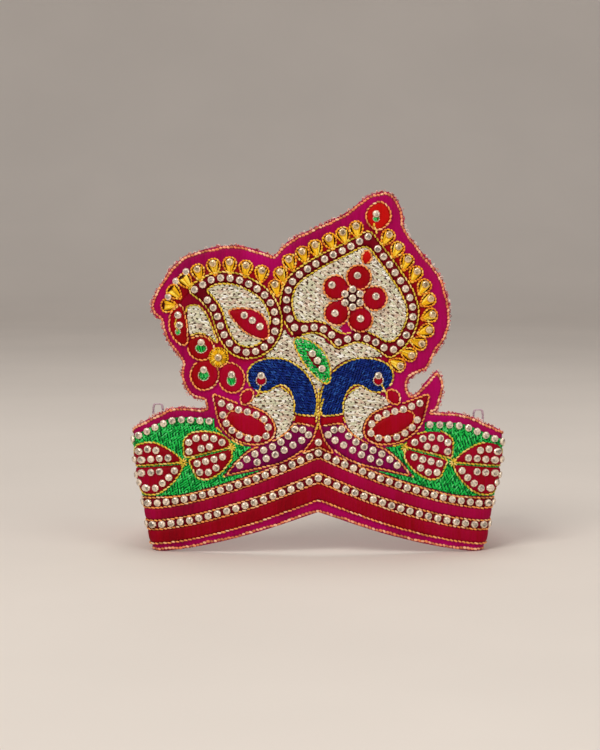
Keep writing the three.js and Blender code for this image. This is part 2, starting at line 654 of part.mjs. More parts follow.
// Stones set close together just inside an outline.
const stonesInside = (outline) => setRound(offset(spread(outline, 60, true), -RING_INSET), RING_PITCH);

// A leaf pad, with its stones listed or set in a ring just inside its outline.
function leafPad(leaf, material, side = 1, label = "", stretch = 1) {
  const outline = leafOutline(leaf).map(mirrored(side, stretch));
  const listed = (leaf.stones ?? []).map(([s, z]) => point(side * stretch * s, z));
  const ring = leaf.ring ? stonesInside(leafOutline(leaf)).map(mirrored(side, stretch)) : [];
  return pad(leaf.node + label, material, { outline, stones: [...listed, ...ring], ...leaf.on });
}

// The peacocks

function neckOutline(side, stretch) {
  const middle = smooth(NECK.map(({ out, z }) => [out, z]));
  const widths = smooth(NECK.map(({ width }, i) => [i, width]), 0.25);
  const last = middle.length - 1;
  const halfAt = (i) => widths[Math.round((i / last) * (widths.length - 1))].y / 2;
  const forward = (i) => middle[Math.min(i + 1, last)].clone().sub(middle[Math.max(i - 1, 0)]).normalize();
  const beside = (i, angle) => {
    const way = forward(i);
    const across = point(way.y, -way.x);
    return middle[i]
      .clone()
      .addScaledVector(across, halfAt(i) * Math.cos(angle))
      .addScaledVector(way, halfAt(i) * Math.sin(angle));
  };
  const under = middle.map((_, i) => beside(i, 0));
  const over = middle.map((_, i) => beside(i, Math.PI)).reverse();
  const head = [1, 2, 3, 4, 5].map((i) => beside(last, (i * Math.PI) / 6));
  return [...under, ...head, ...over].map(mirrored(side, stretch));
}

function peacock(side, label) {
  const bird = new THREE.Group();
  const stretch = BIRD_STRETCH[label];
  const half = (stretches) => halfOutline(stretches, side, stretch);
  const wingStones = stonesInside(halfOutline(WING, 1, stretch)).map(mirrored(side));
  bird.add(pad(`neck_${label}`, "blueThread", { outline: neckOutline(side, stretch), ...GROUND }));
  bird.add(pad(`body_${label}`, "creamThread", { outline: half(BODY), ...GROUND }));
  bird.add(pad(`wing_${label}`, "stoneGround", { outline: half(WING), stones: wingStones, ...GROUND }));
  bird.add(pad(`collar_${label}`, "redSatin", { outline: half(COLLAR), ...GROUND }));
  BIRD_LEAVES.forEach((leaf) => bird.add(leafPad(leaf, "redSatin", side, `_${label}`, stretch)));
  return bird;
}

// The crest

const RINGS = { left: LEFT_RING, right: RIGHT_RING };

// A paisley: a ring of stones between two outlines, and the embroidered field inside it.
function paisley(label) {
  const path = outlineOf(RINGS[label]);
  const clear = 0.6;
  const ring = pad(`${label}_paisley_ring`, "stoneGround", {
    outline: offset(path, RING_HALF),
    windows: [offset(path, -RING_HALF)],
    stones: setRound(path, ROW_PITCH),
    ...GROUND,
  });
  const outline = offset(path, -RING_HALF - clear);
  const field = pad(`${label}_paisley_field`, "creamThread", { outline, ...GROUND });
  return [ring, field];
}

// A row of drops: a strip along the line of their middles, whose outer edge (to the left of the way)
// rises in a root of a sine for each drop.
function dropRow({ node, drops, length, middles }) {
  const line = smooth(middles, FINE_STEP);
  const last = line.length - 1;
  const perDrop = 4;
  const steps = drops * perDrop;
  // Where the strip is, a share of the way along, half a drop longer than the line at each end.
  const at = (share, distance) => {
    const along = (share * drops - 0.5) / (drops - 1);
    const i = THREE.MathUtils.clamp(Math.round(along * last), 0, last);
    const way = line[Math.min(i + 1, last)].clone().sub(line[Math.max(i - 1, 0)]).normalize();
    const beyond = (along - i / last) * last * line[1].distanceTo(line[0]);
    const outward = point(-way.y, way.x);
    return line[i].clone().addScaledVector(way, beyond).addScaledVector(outward, distance);
  };
  const foot = [];
  const edge = [];
  const stones = [];
  for (let k = 0; k <= steps; k++) {
    const lobe = Math.abs(Math.sin((Math.PI * k) / perDrop)) ** DROP_FULLNESS;
    const middle = k % perDrop === perDrop / 2;
    if (k % 2 === 0) foot.push(at(k / steps, -length / 2));
    edge.push(at(k / steps, -length / 2 + DROP_WEB + (length - DROP_WEB) * lobe));
    if (middle) stones.push(at(k / steps, DROP_STONE));
  }
  return pad(node, "goldThread", { outline: [...foot, ...edge.reverse()], stones, ...GROUND });
}

// The flower's outline: along each ray from its centre, the far side of the farthest petal disc.
function flower() {
  const radius = (angle) =>
    Math.max(
      ...FLOWER_PETALS.map((petal) => {
        const away = angle - THREE.MathUtils.degToRad(petal.angle);
        const square = PETAL_RADIUS ** 2 - (petal.reach * Math.sin(away)) ** 2;
        return square > 0 && Math.cos(away) > 0 ? petal.reach * Math.cos(away) + Math.sqrt(square) : 0;
      }),
      CLUSTER_RADIUS + STONE_RADIUS + SEAM,
    );
  const ray = (angle, reach) =>
    point(reach * Math.cos(angle), reach * Math.sin(angle)).add(FLOWER_CENTRE);
  const turns = (count) => Array.from({ length: count }, (_, i) => (i * 2 * Math.PI) / count);
  const outline = turns(FLOWER_STEPS).map((angle) => ray(angle, radius(angle)));
  const cluster = turns(CLUSTER_STONES).map((angle) => ray(angle + Math.PI / 2, CLUSTER_RADIUS));
  const petals = FLOWER_PETALS.map(({ angle, reach }) => ray(THREE.MathUtils.degToRad(angle), reach));
  const stones = [FLOWER_CENTRE.clone(), ...cluster, ...petals];
  return pad("flower", "redSatin", { outline, stones, ...RAISED });
}

const LEAF_MATERIALS = { green_leaf: "greenThread", gold_centre: "goldThread", between_drop: "goldThread" };

function crest() {
  const group = new THREE.Group();
  group.add(...paisley("left"), ...paisley("right"), flower());
  group.add(pad("curl_field", "creamThread", { outline: outlineOf(CURL), ...GROUND }));
  group.add(pad("centre_field", "creamThread", { outline: outlineOf(CENTRE_FIELD), ...GROUND }));
  DROP_ROWS.forEach((row) => group.add(dropRow(row)));
  CREST_LEAVES.forEach((leaf) => group.add(leafPad(leaf, LEAF_MATERIALS[leaf.node] ?? "redSatin")));
  return group;
}

function band() {
  const group = new THREE.Group();
  group.add(satinStripe("lower_satin", "hem", "lowerRowFoot"));
  group.add(stoneRow("lower_stone_row", "lowerRowFoot", "lowerRowHead"));
  group.add(satinStripe("upper_satin", "lowerRowHead", "upperRowFoot"));
  group.add(stoneRow("upper_stone_row", "upperRowFoot", "upperRowHead"));
  group.add(pointPiece());
  [[-1, "left"], [1, "right"]].forEach(([side, label]) => {
    group.add(topRow(side, label), greenField(side, label), boat(side, label), peacock(side, label));
    BAND_LEAVES.forEach((leaf) => group.add(leafPad(leaf, "redSatin", side, `_${label}`)));
  });
  return group;
}

// A thread loop behind the band: up from its seam, over, and down again.
function tieLoop(side, label) {
  const top = bandTopAt(label, LOOP.out);
  const behind = -PANEL_THICKNESS - 0.3 - LOOP.thread / 2;
  const knots = [
    [-0.5, -LOOP.sewn],
    [-0.46, LOOP.rise * 0.6],
    [-0.2, LOOP.rise],
    [0.3, LOOP.rise * 0.9],
    [0.5, LOOP.rise * 0.4],
    [0.46, -LOOP.sewn],
  ];
  const path = new THREE.CatmullRomCurve3(
    knots.map(([across, above]) => {
      const z = top + above;
      return onCloth((side * (LOOP.out + across * LOOP.width)) / grow(z), z, behind);
    }),
  );
  const section = new THREE.Shape().absarc(0, 0, LOOP.thread / 2, 0, 2 * Math.PI);
  const tube = new THREE.ExtrudeGeometry(section, { extrudePath: path, steps: 9, curveSegments: 3 });
  const mesh = new THREE.Mesh(tube, MATERIALS.tieThread());
  mesh.name = `tie_loop_${label}`;
  return mesh;
}

const crown = new THREE.Group();
crown.add(crownPanel(), band(), crest(), tieLoop(-1, "left"), tieLoop(1, "right"));
const box = new THREE.Box3().setFromObject(crown);
crown.position.set(-(box.min.x + box.max.x) / 2, -(box.min.y + box.max.y) / 2, -box.min.z);

export default crown;
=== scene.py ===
"""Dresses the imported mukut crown: satin panel, embroidery, zari cords, stones, tie loops and the stage."""

import math

import bpy
import numpy as np
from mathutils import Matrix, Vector, geometry


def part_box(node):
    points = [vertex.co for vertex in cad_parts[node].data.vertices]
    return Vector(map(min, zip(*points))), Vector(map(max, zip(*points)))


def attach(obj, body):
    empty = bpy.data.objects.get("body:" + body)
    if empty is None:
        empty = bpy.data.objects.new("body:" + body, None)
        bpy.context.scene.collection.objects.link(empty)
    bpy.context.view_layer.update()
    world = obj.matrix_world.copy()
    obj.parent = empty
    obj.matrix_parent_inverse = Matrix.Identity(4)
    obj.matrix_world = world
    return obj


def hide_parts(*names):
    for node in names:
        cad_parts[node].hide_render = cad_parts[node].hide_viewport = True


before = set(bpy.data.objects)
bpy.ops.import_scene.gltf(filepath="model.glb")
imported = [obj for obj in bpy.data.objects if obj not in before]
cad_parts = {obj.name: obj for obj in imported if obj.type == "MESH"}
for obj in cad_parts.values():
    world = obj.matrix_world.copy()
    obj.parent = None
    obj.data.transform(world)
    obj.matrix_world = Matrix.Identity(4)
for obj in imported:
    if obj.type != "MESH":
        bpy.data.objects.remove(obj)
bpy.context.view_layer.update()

bl_info = {
    "name": "Mukut crown",
    "version": (1, 0, 0),
    "blender": (4, 5, 0),
    "location": "View3D > Sidebar > Crown",
    "description": "Sews a stone-set, embroidered satin crown over its packed solids",
    "category": "Object",
}

MM = 0.001
TINY = 1e-9

# The cloth panel in plan, in millimetres: a shallow arc across the front, a tight fold at each end, a flap.
FRONT_RADIUS = 244.0
FRONT_HALF = 63.5
FRONT_BENDS = 3
FOLD_RADIUS = 5.0
FOLD_BENDS = 3
FLAP_HEADING = math.radians(100)
FLAP_LENGTH = 58.0
FLARE = 0.00257
FLARE_CENTRE = -20.0
FOLD_END = FRONT_HALF + FOLD_RADIUS * (FLAP_HEADING - FRONT_HALF / FRONT_RADIUS)
FLAP_END = FOLD_END + FLAP_LENGTH

# Heights out from the panel's front face, in millimetres.
PANEL_BACK = -2.2
GROUND = 0.3  # foot of the pads on the panel
GROUND_TOP = 0.8
RAISED_FOOT = 1.1  # foot of the solids that stand on those pads
RAISED = 0.62  # their foot as sewn, sunk into the pad below
RAISED_TOP = 1.6
LOW_TABLES = 1.8  # flat tops of the solids' stones, on the panel's pads and on the raised ones
HIGH_TABLES = 2.6
STONE_HEIGHT = 1.0
STONE_SUNK = 0.06
FACE_SLACK = 0.06  # how far the corners of one face of a solid may stand apart in height
TABLE_SLACK = 0.1


def both(*parts):
    """Names of the solids that the crown has on its left and on its right."""
    return [f"{part}_{side}" for part in parts for side in ("left", "right")]


STONE_ROWS = ["lower_stone_row", "upper_stone_row"]
TOP_ROWS = both("top_stone_row")
RINGS = ["left_paisley_ring", "right_paisley_ring"]
WINGS = both("wing")
BOATS = both("boat")
STRIPES = ["lower_satin", "upper_satin"]
TIES = both("tie_loop")
RED_GROUND = both("collar", "beak") + ["centre_point"]
RED_RAISED = [
    "flower", "tip_bud", "left_paisley_leaf", "paisley_seed",
    "left_oval", "left_petal_upper", "left_petal_lower", "left_petal_inner",
    *both("wing_leaf", "eye", "inner_petal_upper", "inner_petal_lower"),
    *both("outer_petal_upper", "outer_petal_lower"),
]
BAND_PETALS = ("inner_petal", "outer_petal", "centre_point")
BRIGHT_RED = ("tip_bud", "paisley_seed")
SET_ALONE = ["centre_point", "green_leaf", "gold_centre"]

# Fields of thread, with the angle of their rows in degrees.
CREAM = {
    "left_paisley_field": 2.0,
    "right_paisley_field": -30.0,
    "curl_field": -8.0,
    "centre_field": -24.0,
    "body_left": 2.0,
    "body_right": -6.0,
}
GREEN = {
    "green_field_left": 62.0,
    "top_stone_row_left": 66.0,
    "green_field_right": 74.0,
    "top_stone_row_right": 70.0,
    "green_leaf": -40.0,
}
BLUE = {"neck_left": -38.0, "neck_right": 38.0}

# The paisley that each row of drops goes round, and how far each drop leans from upright, in degrees
# clockwise, along the row anticlockwise.
DROP_ROWS = {
    "left_drop_row": "left_paisley_ring",
    "middle_drop_row": "right_paisley_ring",
    "right_drop_row": "right_paisley_ring",
}
DROP_LEANS = {
    "left_drop_row": [5, 6, 0, -13, -17, -39, -48, -88],
    "middle_drop_row": [-8, -15, -21, -10, -19, -20, -22],
    "right_drop_row": [116, 111, 106, 71, 67, 58, 31, 28, 23, 27, 32],
    "between_drop": [-12],
}
DROP_REACH = 1.9  # from a drop's stone to its round end
DROP_TAIL = 5.1  # and to the tip of its tail
DROP_BED = (1.6, 5.6)  # the cloth below a row of drops, from its stones towards their tails
DROP_STRANDS = 7

# Small motifs, in millimetres along the cloth and up it.
LOOSE_STONES = np.array([(-60.1, 101.8), (-56.9, 108.0), (-52.8, 111.8)])  # beside the left row's last drops
FLOWER_PETALS = np.array([(15.9, 109.8), (6.8, 105.8), (22.2, 101.5), (7.2, 95.7), (16.5, 93.1)])
FLOWER_STONES = FLOWER_PETALS + [(-0.6, 0.7), (-1.5, 1.0), (0.4, 0.8), (-0.7, 0.0), (0.0, 0.4)]
FLOWER_HEART = 4.2  # radius of the dark disc that holds the flower's middle stones
FLOWER_PETAL_RADIUS = 4.7
FLOWER_GAP = (11.2, 89.6)  # middle of the magenta oval between the lower petals
FLOWER_GAP_HALVES = (2.9, 3.3)
EYE_DROP = 1.9  # from an eye's stone down to its middle
EYE_RADIUS = 2.0
GOLD_CENTRE_RADIUS = 3.7
BUD_LOWERED = 0.9  # share of the bud's height that is sewn
CHEVRON_TOP = 50.0  # below this level, lines that cross the middle of the front come to a point there
CHEVRON_HALF = 0.2
TOP_ROW_LOWERED = 0.9  # the green strip under the top stones, below its solid
PETAL_KNOTS = np.array([(-54.0, 36.0), (54.0, 36.0), (-34.4, 42.3), (34.4, 42.3)])
# How far some motifs are let out past their solids.
LET_OUT = {
    "wing_leaf": 2.2,
    "left_oval": 0.8,
    "left_petal": 0.6,
    "beak": 0.4,
    "green_leaf": 0.8,
    "collar": 0.4,
    "body": 0.5,
}
# Green touches below a stone: how far below its middle, half width, half height.
GREEN_TOUCHES = {
    "left_petal_upper": (2.3, 2.3, 1.8),
    "left_petal_lower": (2.2, 2.2, 2.1),
    "left_petal_inner": (2.2, 1.8, 2.2),
    "tip_bud": (1.9, 1.3, 1.3),
    "left_oval": (6.6, 1.1, 1.3),
}
# Short zari lines: between the necks, from the eyes to the heads' lower edges, stalks of bud and oval.
SHORT_LINES = [
    [(2.0, 62.0), (0.6, 56.5), (0.2, 53.0), (-0.8, 49.6)],
    [(-0.8, 59.0), (-0.7, 52.4)],
    [(0.1, 66.0), (0.0, 61.0), (-0.1, 55.0)],
    [(-22.7, 67.2), (-23.2, 65.5), (-23.9, 63.6)],
    [(25.0, 67.6), (26.1, 65.0), (27.3, 63.2)],
    [(21.8, 131.2), (22.3, 128.9), (23.2, 126.9)],
    [(-56.6, 93.4), (-57.2, 90.6), (-56.0, 88.2)],
]

random = np.random.default_rng(21)


def tint(red, green, blue):
    """A colour as seen on a screen, 0 to 255, turned into the linear values that shaders take."""
    seen = np.array([red, green, blue]) / 255
    return tuple(np.where(seen <= 0.04045, seen / 12.92, ((seen + 0.055) / 1.055) ** 2.4))


def length_of(label, note, millimetres):
    """A length setting in the add-on, given in millimetres."""
    return bpy.props.FloatProperty(
        name=label,
        description=note,
        default=millimetres * MM,
        min=0.0,
        unit="LENGTH",
        subtype="DISTANCE",
        precision=5,
    )


def colour_of(label, note, red, green, blue):
    """A colour setting in the add-on, given as seen on a screen."""
    return bpy.props.FloatVectorProperty(
        name=label,
        description=note,
        default=tint(red, green, blue),
        min=0.0,
        max=1.0,
        size=3,
        subtype="COLOR",
    )


class CrownSizes(bpy.types.PropertyGroup):
    """Sizes of threads, stones and seams."""

    stone_radius: length_of("Stone radius", "Radius of a rhinestone at its girdle", 1.52)
    table_radius: length_of("Stone table", "Radius of a rhinestone's flat top", 0.8)
    zari_width: length_of("Zari width", "Width of a stitch in the metal-thread outlines", 0.78)
    zari_pitch: length_of("Zari pitch", "Distance from one outline stitch to the next", 1.75)
    cream_pitch: length_of("Cream pitch", "Distance between rows of cream stitches", 0.62)
    green_pitch: length_of("Green pitch", "Distance between rows of green stitches", 0.6)
    blue_pitch: length_of("Blue pitch", "Distance between rows of blue stitches", 0.46)
    satin_pitch: length_of("Satin thread", "Distance between the ribs of the satin stripes", 0.5)
    drop_width: length_of("Drop width", "Width of a gold drop", 5.4)
    tie_radius: length_of("Tie thread", "Radius of a tie loop's thread", 0.5)
    fuzz_radius: length_of("Loose thread", "Radius of the loose threads along the edge", 0.08)


class CrownColours(bpy.types.PropertyGroup):
    """Colours of the cloths, threads and stones."""

    magenta: colour_of("Magenta satin", "Panel and border", 164, 0, 74)
    crimson: colour_of("Crimson satin", "Stripes and petals of the band", 148, 0, 18)
    red: colour_of("Red satin", "Leaves, flower and bud", 156, 0, 10)
    maroon: colour_of("Maroon ground", "Cloth under the stones", 112, 0, 18)
    purple: colour_of("Purple satin", "Boat-shaped leaves", 112, 0, 64)
    green: colour_of("Green thread", "Fields of the band and the leaf", 24, 192, 74)
    cream: colour_of("Cream thread", "Paisleys and birds' bodies", 230, 218, 190)
    blue: colour_of("Blue thread", "Birds' necks", 6, 38, 124)
    gold: colour_of("Gold thread", "Drops", 252, 188, 14)
    warm_zari: colour_of("Warm zari", "Outlines on red and magenta", 255, 160, 82)
    pale_zari: colour_of("Pale zari", "Outlines on cream, green and blue", 246, 196, 58)
    stone: colour_of("Rhinestone", "Stones", 242, 220, 192)
    tie: colour_of("Tie thread", "Loops behind the band", 190, 160, 168)
    floor: colour_of("Floor", "Plain table top", 226, 214, 200)


def settings():
    """The add-on's sizes and colours."""
    scene = bpy.context.scene
    return scene.crown_sizes, scene.crown_colours


def size(sizes, name):
    """One length setting in millimetres."""
    return getattr(sizes, name) / MM


def unit(ways):
    """Ways made one long."""
    return ways / np.maximum(np.linalg.norm(ways, axis=-1, keepdims=True), TINY)


def right_of(ways):
    """Ways on the flat cloth turned a quarter to their right."""
    return np.stack([ways[..., 1], -ways[..., 0]], -1)


def round_about(count):
    """Ways to evenly spaced places on a circle: the cosine and sine of each turn."""
    turn = np.linspace(0, 2 * math.pi, count, endpoint=False)
    return np.stack([np.cos(turn), np.sin(turn)], -1)


def closed_path(loop):
    """A closed outline as a path that comes back to its first place."""
    return np.vstack([loop, loop[:1]])


def quads(a, b, c, d):
    """Two triangles for each four-sided face, from the numbers of its corners."""
    return np.stack([a, b, c, a, c, d], -1).reshape(-1, 3)


def copies(triangles, count, points):
    """The triangles of many like shapes, which have so many points each."""
    return triangles[None] + (np.arange(count) * points)[:, None, None]


def plan(u):
    """The panel's foot line seen from above, with its outward direction, at distances u along it.

    The heading is u over the radius on the front arc, grows by arc over radius round the fold and then stays;
    the place is the sum of the two arcs and the straight flap, mirrored for the other half.
    """
    side = np.where(u < 0, -1.0, 1.0)
    along = np.abs(u)
    front = np.minimum(along, FRONT_HALF) / FRONT_RADIUS
    heading = front + np.clip(along - FRONT_HALF, 0, FOLD_END - FRONT_HALF) / FOLD_RADIUS
    flap = np.maximum(along - FOLD_END, 0)
    across = FRONT_RADIUS * np.sin(front) + FOLD_RADIUS * (np.sin(heading) - np.sin(front))
    back = FRONT_RADIUS * (1 - np.cos(front)) + FOLD_RADIUS * (np.cos(front) - np.cos(heading))
    place = np.stack([side * (across + flap * np.cos(heading)), back + flap * np.sin(heading)], -1)
    return place, np.stack([side * np.sin(heading), -np.cos(heading)], -1)


def node_triangles(name):
    """Corner points of a solid in millimetres, equal ones merged, and its triangles as their numbers."""
    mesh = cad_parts[name].data
    points = np.empty(len(mesh.vertices) * 3, np.float32)
    mesh.vertices.foreach_get("co", points)
    corners = np.empty(len(mesh.loops), np.int32)
    mesh.loops.foreach_get("vertex_index", corners)
    merged, number = np.unique(np.round(points.reshape(-1, 3) / MM, 3), axis=0, return_inverse=True)
    return merged, number.reshape(-1)[corners].reshape(-1, 3)


def panel_shift():
    """How far the crown was moved across and back: its foot's middle and end, less those of the plan."""
    points, _ = node_triangles("crown_panel")
    foot = points[points[:, 2] < 0.01]
    return (foot[:, 0].min() + foot[:, 0].max()) / 2, foot[:, 1].max() - plan(np.array(FLAP_END))[0][1]


SHIFT_ACROSS, SHIFT_BACK = panel_shift()


def on_cloth(flat, height):
    """Places on the cloth: flat holds the distance along it and the level, height stands out from its front.

    The plan grows by the flare for each millimetre of level, about a point in front of the crown.
    """
    level = flat[..., 1]
    grow = 1 + FLARE * level
    place, out = plan(flat[..., 0] / grow)
    x = SHIFT_ACROSS + grow * place[..., 0] + height * out[..., 0]
    y = SHIFT_BACK + FLARE_CENTRE + grow * (place[..., 1] - FLARE_CENTRE) + height * out[..., 1]
    return np.stack([x, y, level + 0 * x], -1) * MM


def bend_corners():
    """The plan as the solids have it, straight between bend lines.

    Gives the distances and places of its corners, their mitred way out, and the way out of each side.
    """
    front = FRONT_HALF * (2 * np.arange(FRONT_BENDS) + 1) / (2 * FRONT_BENDS)
    half = np.concatenate([front, np.linspace(FRONT_HALF, FOLD_END, FOLD_BENDS + 1), [FLAP_END + 1]])
    u = np.concatenate([-half[::-1], half])
    place, _ = plan(u)
    side = right_of(unit(np.diff(place, axis=0)))
    before, after = np.vstack([side[:1], side]), np.vstack([side, side[-1:]])
    out = (before + after) / (1 + (before * after).sum(1, keepdims=True))
    return u, place, out, side


BEND_U, BEND_PLACE, BEND_OUT, BEND_SIDE = bend_corners()
HALF_SIDE = 0.501  # share of a straight side that a point on it may lie from the side's middle
NOT_ON_SIDE = 1000.0  # weight against a side for each share that a point lies past it


def flattened(points):
    """The cloth's own distance, level and height of points on the solids: on_cloth taken back side by side.

    A point's lift from each straight side is its distance from that side, and its share along the side is
    measured between the side's two mitred corners at that lift; the nearest side that holds it counts.
    """
    grow = 1 + FLARE * points[:, 2]
    across = (points[:, 0] - SHIFT_ACROSS) / grow
    seen = np.stack([across, (points[:, 1] - SHIFT_BACK - FLARE_CENTRE) / grow + FLARE_CENTRE], -1)[:, None]
    lift = ((seen - BEND_PLACE[:-1]) * BEND_SIDE).sum(-1)
    foot = BEND_PLACE[:-1] + lift[..., None] * BEND_OUT[:-1]
    span = BEND_PLACE[1:] + lift[..., None] * BEND_OUT[1:] - foot
    share = ((seen - foot) * span).sum(-1) / (span**2).sum(-1)
    past = np.maximum(np.abs(share - 0.5) - HALF_SIDE, 0)
    best = (np.abs(lift) + NOT_ON_SIDE * past).argmin(1)
    row = np.arange(len(points))
    u = BEND_U[best] + share[row, best] * np.diff(BEND_U)[best]
    return np.stack([u * grow, points[:, 2]], -1), lift[row, best] * grow


def open_edges(triangles):
    """The edges that only one triangle has, each leading on round the outline."""
    edges = np.concatenate([triangles[:, [0, 1]], triangles[:, [1, 2]], triangles[:, [2, 0]]])
    many = triangles.max() + 1
    return edges[~np.isin(edges[:, 0] * many + edges[:, 1], edges[:, 1] * many + edges[:, 0])]


def chained(edges):
    """Closed outlines as lists of point numbers, from edges that each lead from one point to the next."""
    following = dict(edges.tolist())
    loops = []
    while following:
        start, here = following.popitem()
        loop = [start]
        while here != start:
            loop.append(here)
            here = following.pop(here)
        loops.append(np.array(loop))
    return loops


def without_straight_points(loop, slack=0.012):
    """An outline less the points that lie on the straight line between their neighbours."""
    before, after = np.roll(loop, 1, 0), np.roll(loop, -1, 0)
    span = after - before
    off = span[:, 0] * (loop - before)[:, 1] - span[:, 1] * (loop - before)[:, 0]
    return loop[np.abs(off) > slack * np.linalg.norm(span, axis=1)]


def turned_left(loop):
    """The outline in anticlockwise order."""
    after = np.roll(loop, -1, 0)
    area = (loop[:, 0] * after[:, 1] - loop[:, 1] * after[:, 0]).sum()
    return loop if area > 0 else loop[::-1]


def solid_outlines(name, face):
    """Outlines of a solid's face at one height, as flat places, the longest first."""
    points, triangles = node_triangles(name)
    flat, height = flattened(points)
    level = triangles[(np.abs(height - face) < FACE_SLACK)[triangles].all(1)]
    loops = [without_straight_points(turned_left(flat[loop])) for loop in chained(open_edges(level))]
    return sorted(loops, key=len, reverse=True)


def solid_stones(name):
    """Middles of the stones on a solid: the midpoints of the diagonals of their square tables."""
    points, triangles = node_triangles(name)
    flat, height = flattened(points)
    top = triangles[(height > height.max() - TABLE_SLACK)[triangles].all(1)]
    corner = flat[top]
    longest = np.linalg.norm(corner - np.roll(corner, -1, 1), axis=2).argmax(1)
    row = np.arange(len(top))
    middle = (corner[row, longest] + corner[row, (longest + 1) % 3]) / 2
    return np.unique(np.round(middle, 1), axis=0)


def eased(loop, step=0.5, corner=50, steps=16):
    """A smooth outline through the given points, with places a step apart.

    Between two points runs a cubic whose slopes are the directions between the neighbours, or along the sides
    at a corner; then places are read off at equal distances. Sharp turns are corners, and so are points on
    the middle line of the band.
    """
    before, after = loop - np.roll(loop, 1, 0), np.roll(loop, -1, 0) - loop
    size_before, size_after = np.linalg.norm(before, axis=1), np.linalg.norm(after, axis=1)
    way_before, way_after = before / size_before[:, None], after / size_after[:, None]
    turning = (way_before * way_after).sum(1) < math.cos(math.radians(corner))
    chevron = (np.abs(loop[:, 0]) < CHEVRON_HALF) & (loop[:, 1] < CHEVRON_TOP)
    sharp = (turning | chevron)[:, None]
    slope = (before + after) / (size_before + size_after)[:, None]
    leave, arrive = np.where(sharp, way_after, slope), np.where(sharp, way_before, slope)
    t = np.linspace(0, 1, steps, endpoint=False)[None, :, None]
    length = size_after[:, None, None]
    curve = (
        (2 * t**3 - 3 * t**2 + 1) * loop[:, None]
        + (t**3 - 2 * t**2 + t) * length * leave[:, None]
        + (3 * t**2 - 2 * t**3) * np.roll(loop, -1, 0)[:, None]
        + (t**3 - t**2) * length * np.roll(arrive, -1, 0)[:, None]
    )
    return spaced(closed_path(curve.reshape(-1, 2)), step)[:-1]


def spaced(path, step):
    """Places along a path at equal distances near the step, from its first place to its last."""
    run = np.concatenate([[0], np.cumsum(np.linalg.norm(np.diff(path, axis=0), axis=1))])
    at = np.linspace(0, run[-1], max(int(round(run[-1] / step)), 3) + 1)
    return np.stack([np.interp(at, run, path[:, 0]), np.interp(at, run, path[:, 1])], -1)


def moved_out(loop, distance):
    """An anticlockwise outline with each place moved by the distance to the right of its neighbours' line."""
    return loop + distance * right_of(unit(np.roll(loop, -1, 0) - np.roll(loop, 1, 0)))


def within(flat, loops):
    """Whether each place is inside the outlines: a line to its right then crosses an odd number of edges."""
    odd = np.zeros(len(flat), bool)
    for loop in loops:
        a, b = loop[None], np.roll(loop, -1, 0)[None]
        s, z = flat[:, None, 0], flat[:, None, 1]
        spans = (a[..., 1] > z) != (b[..., 1] > z)
        rise = np.where(b[..., 1] == a[..., 1], 1, b[..., 1] - a[..., 1])
        meets = a[..., 0] + (z - a[..., 1]) / rise * (b[..., 0] - a[..., 0])
        odd ^= ((spans & (s < meets)).sum(1) % 2).astype(bool)
    return odd


def edge_distance(flat, loops):
    """Distance of each place from the nearest edge of the outlines."""
    nearest = np.full(len(flat), np.inf)
    for loop in loops:
        way = np.roll(loop, -1, 0) - loop
        from_start = flat[:, None] - loop[None]
        share = np.clip((from_start * way).sum(-1) / np.maximum((way**2).sum(-1), TINY), 0, 1)
        off = from_start - share[..., None] * way
        nearest = np.minimum(nearest, np.sqrt((off**2).sum(-1)).min(1))
    return nearest


NET_ROWS = 0.87  # distance between a net's rows, in steps: its triangles are nearly equal-sided
NET_CLEAR = 0.55  # distance that a net's inner places keep from its outlines, in steps
NET_LEAST = 1e-5  # twice the area of the smallest triangle that is kept


def trimmed_grid(loops, step):
    """Places in a grid inside outlines, joined to them by triangles, and each place's distance from them."""
    every = np.vstack(loops)
    low, high = every.min(0), every.max(0)
    s, z = np.meshgrid(np.arange(low[0], high[0], step), np.arange(low[1], high[1], step * NET_ROWS))
    s[1::2] += step / 2
    grid = np.stack([s.ravel(), z.ravel()], -1)
    grid = grid[within(grid, loops)]
    grid = grid[edge_distance(grid, loops) > NET_CLEAR * step]
    first = np.cumsum([0] + [len(loop) for loop in loops])
    edges = [
        np.stack([np.arange(len(loop)), np.roll(np.arange(len(loop)), -1)], -1) + start
        for loop, start in zip(loops, first)
    ]
    spots = [Vector(place) for place in np.vstack([every, grid]).tolist()]
    places, _, triangles = geometry.delaunay_2d_cdt(spots, np.vstack(edges).tolist(), [], 0, 1e-6)[:3]
    places, triangles = np.array([tuple(place) for place in places]), np.array(triangles)
    triangles = triangles[within(places[triangles].mean(1), loops)]
    a, b, c = (places[triangles[:, k]] for k in range(3))
    area = (b - a)[:, 0] * (c - a)[:, 1] - (b - a)[:, 1] * (c - a)[:, 0]
    triangles[area < 0] = triangles[area < 0][:, ::-1]
    return places, triangles[np.abs(area) > NET_LEAST], edge_distance(places, loops)


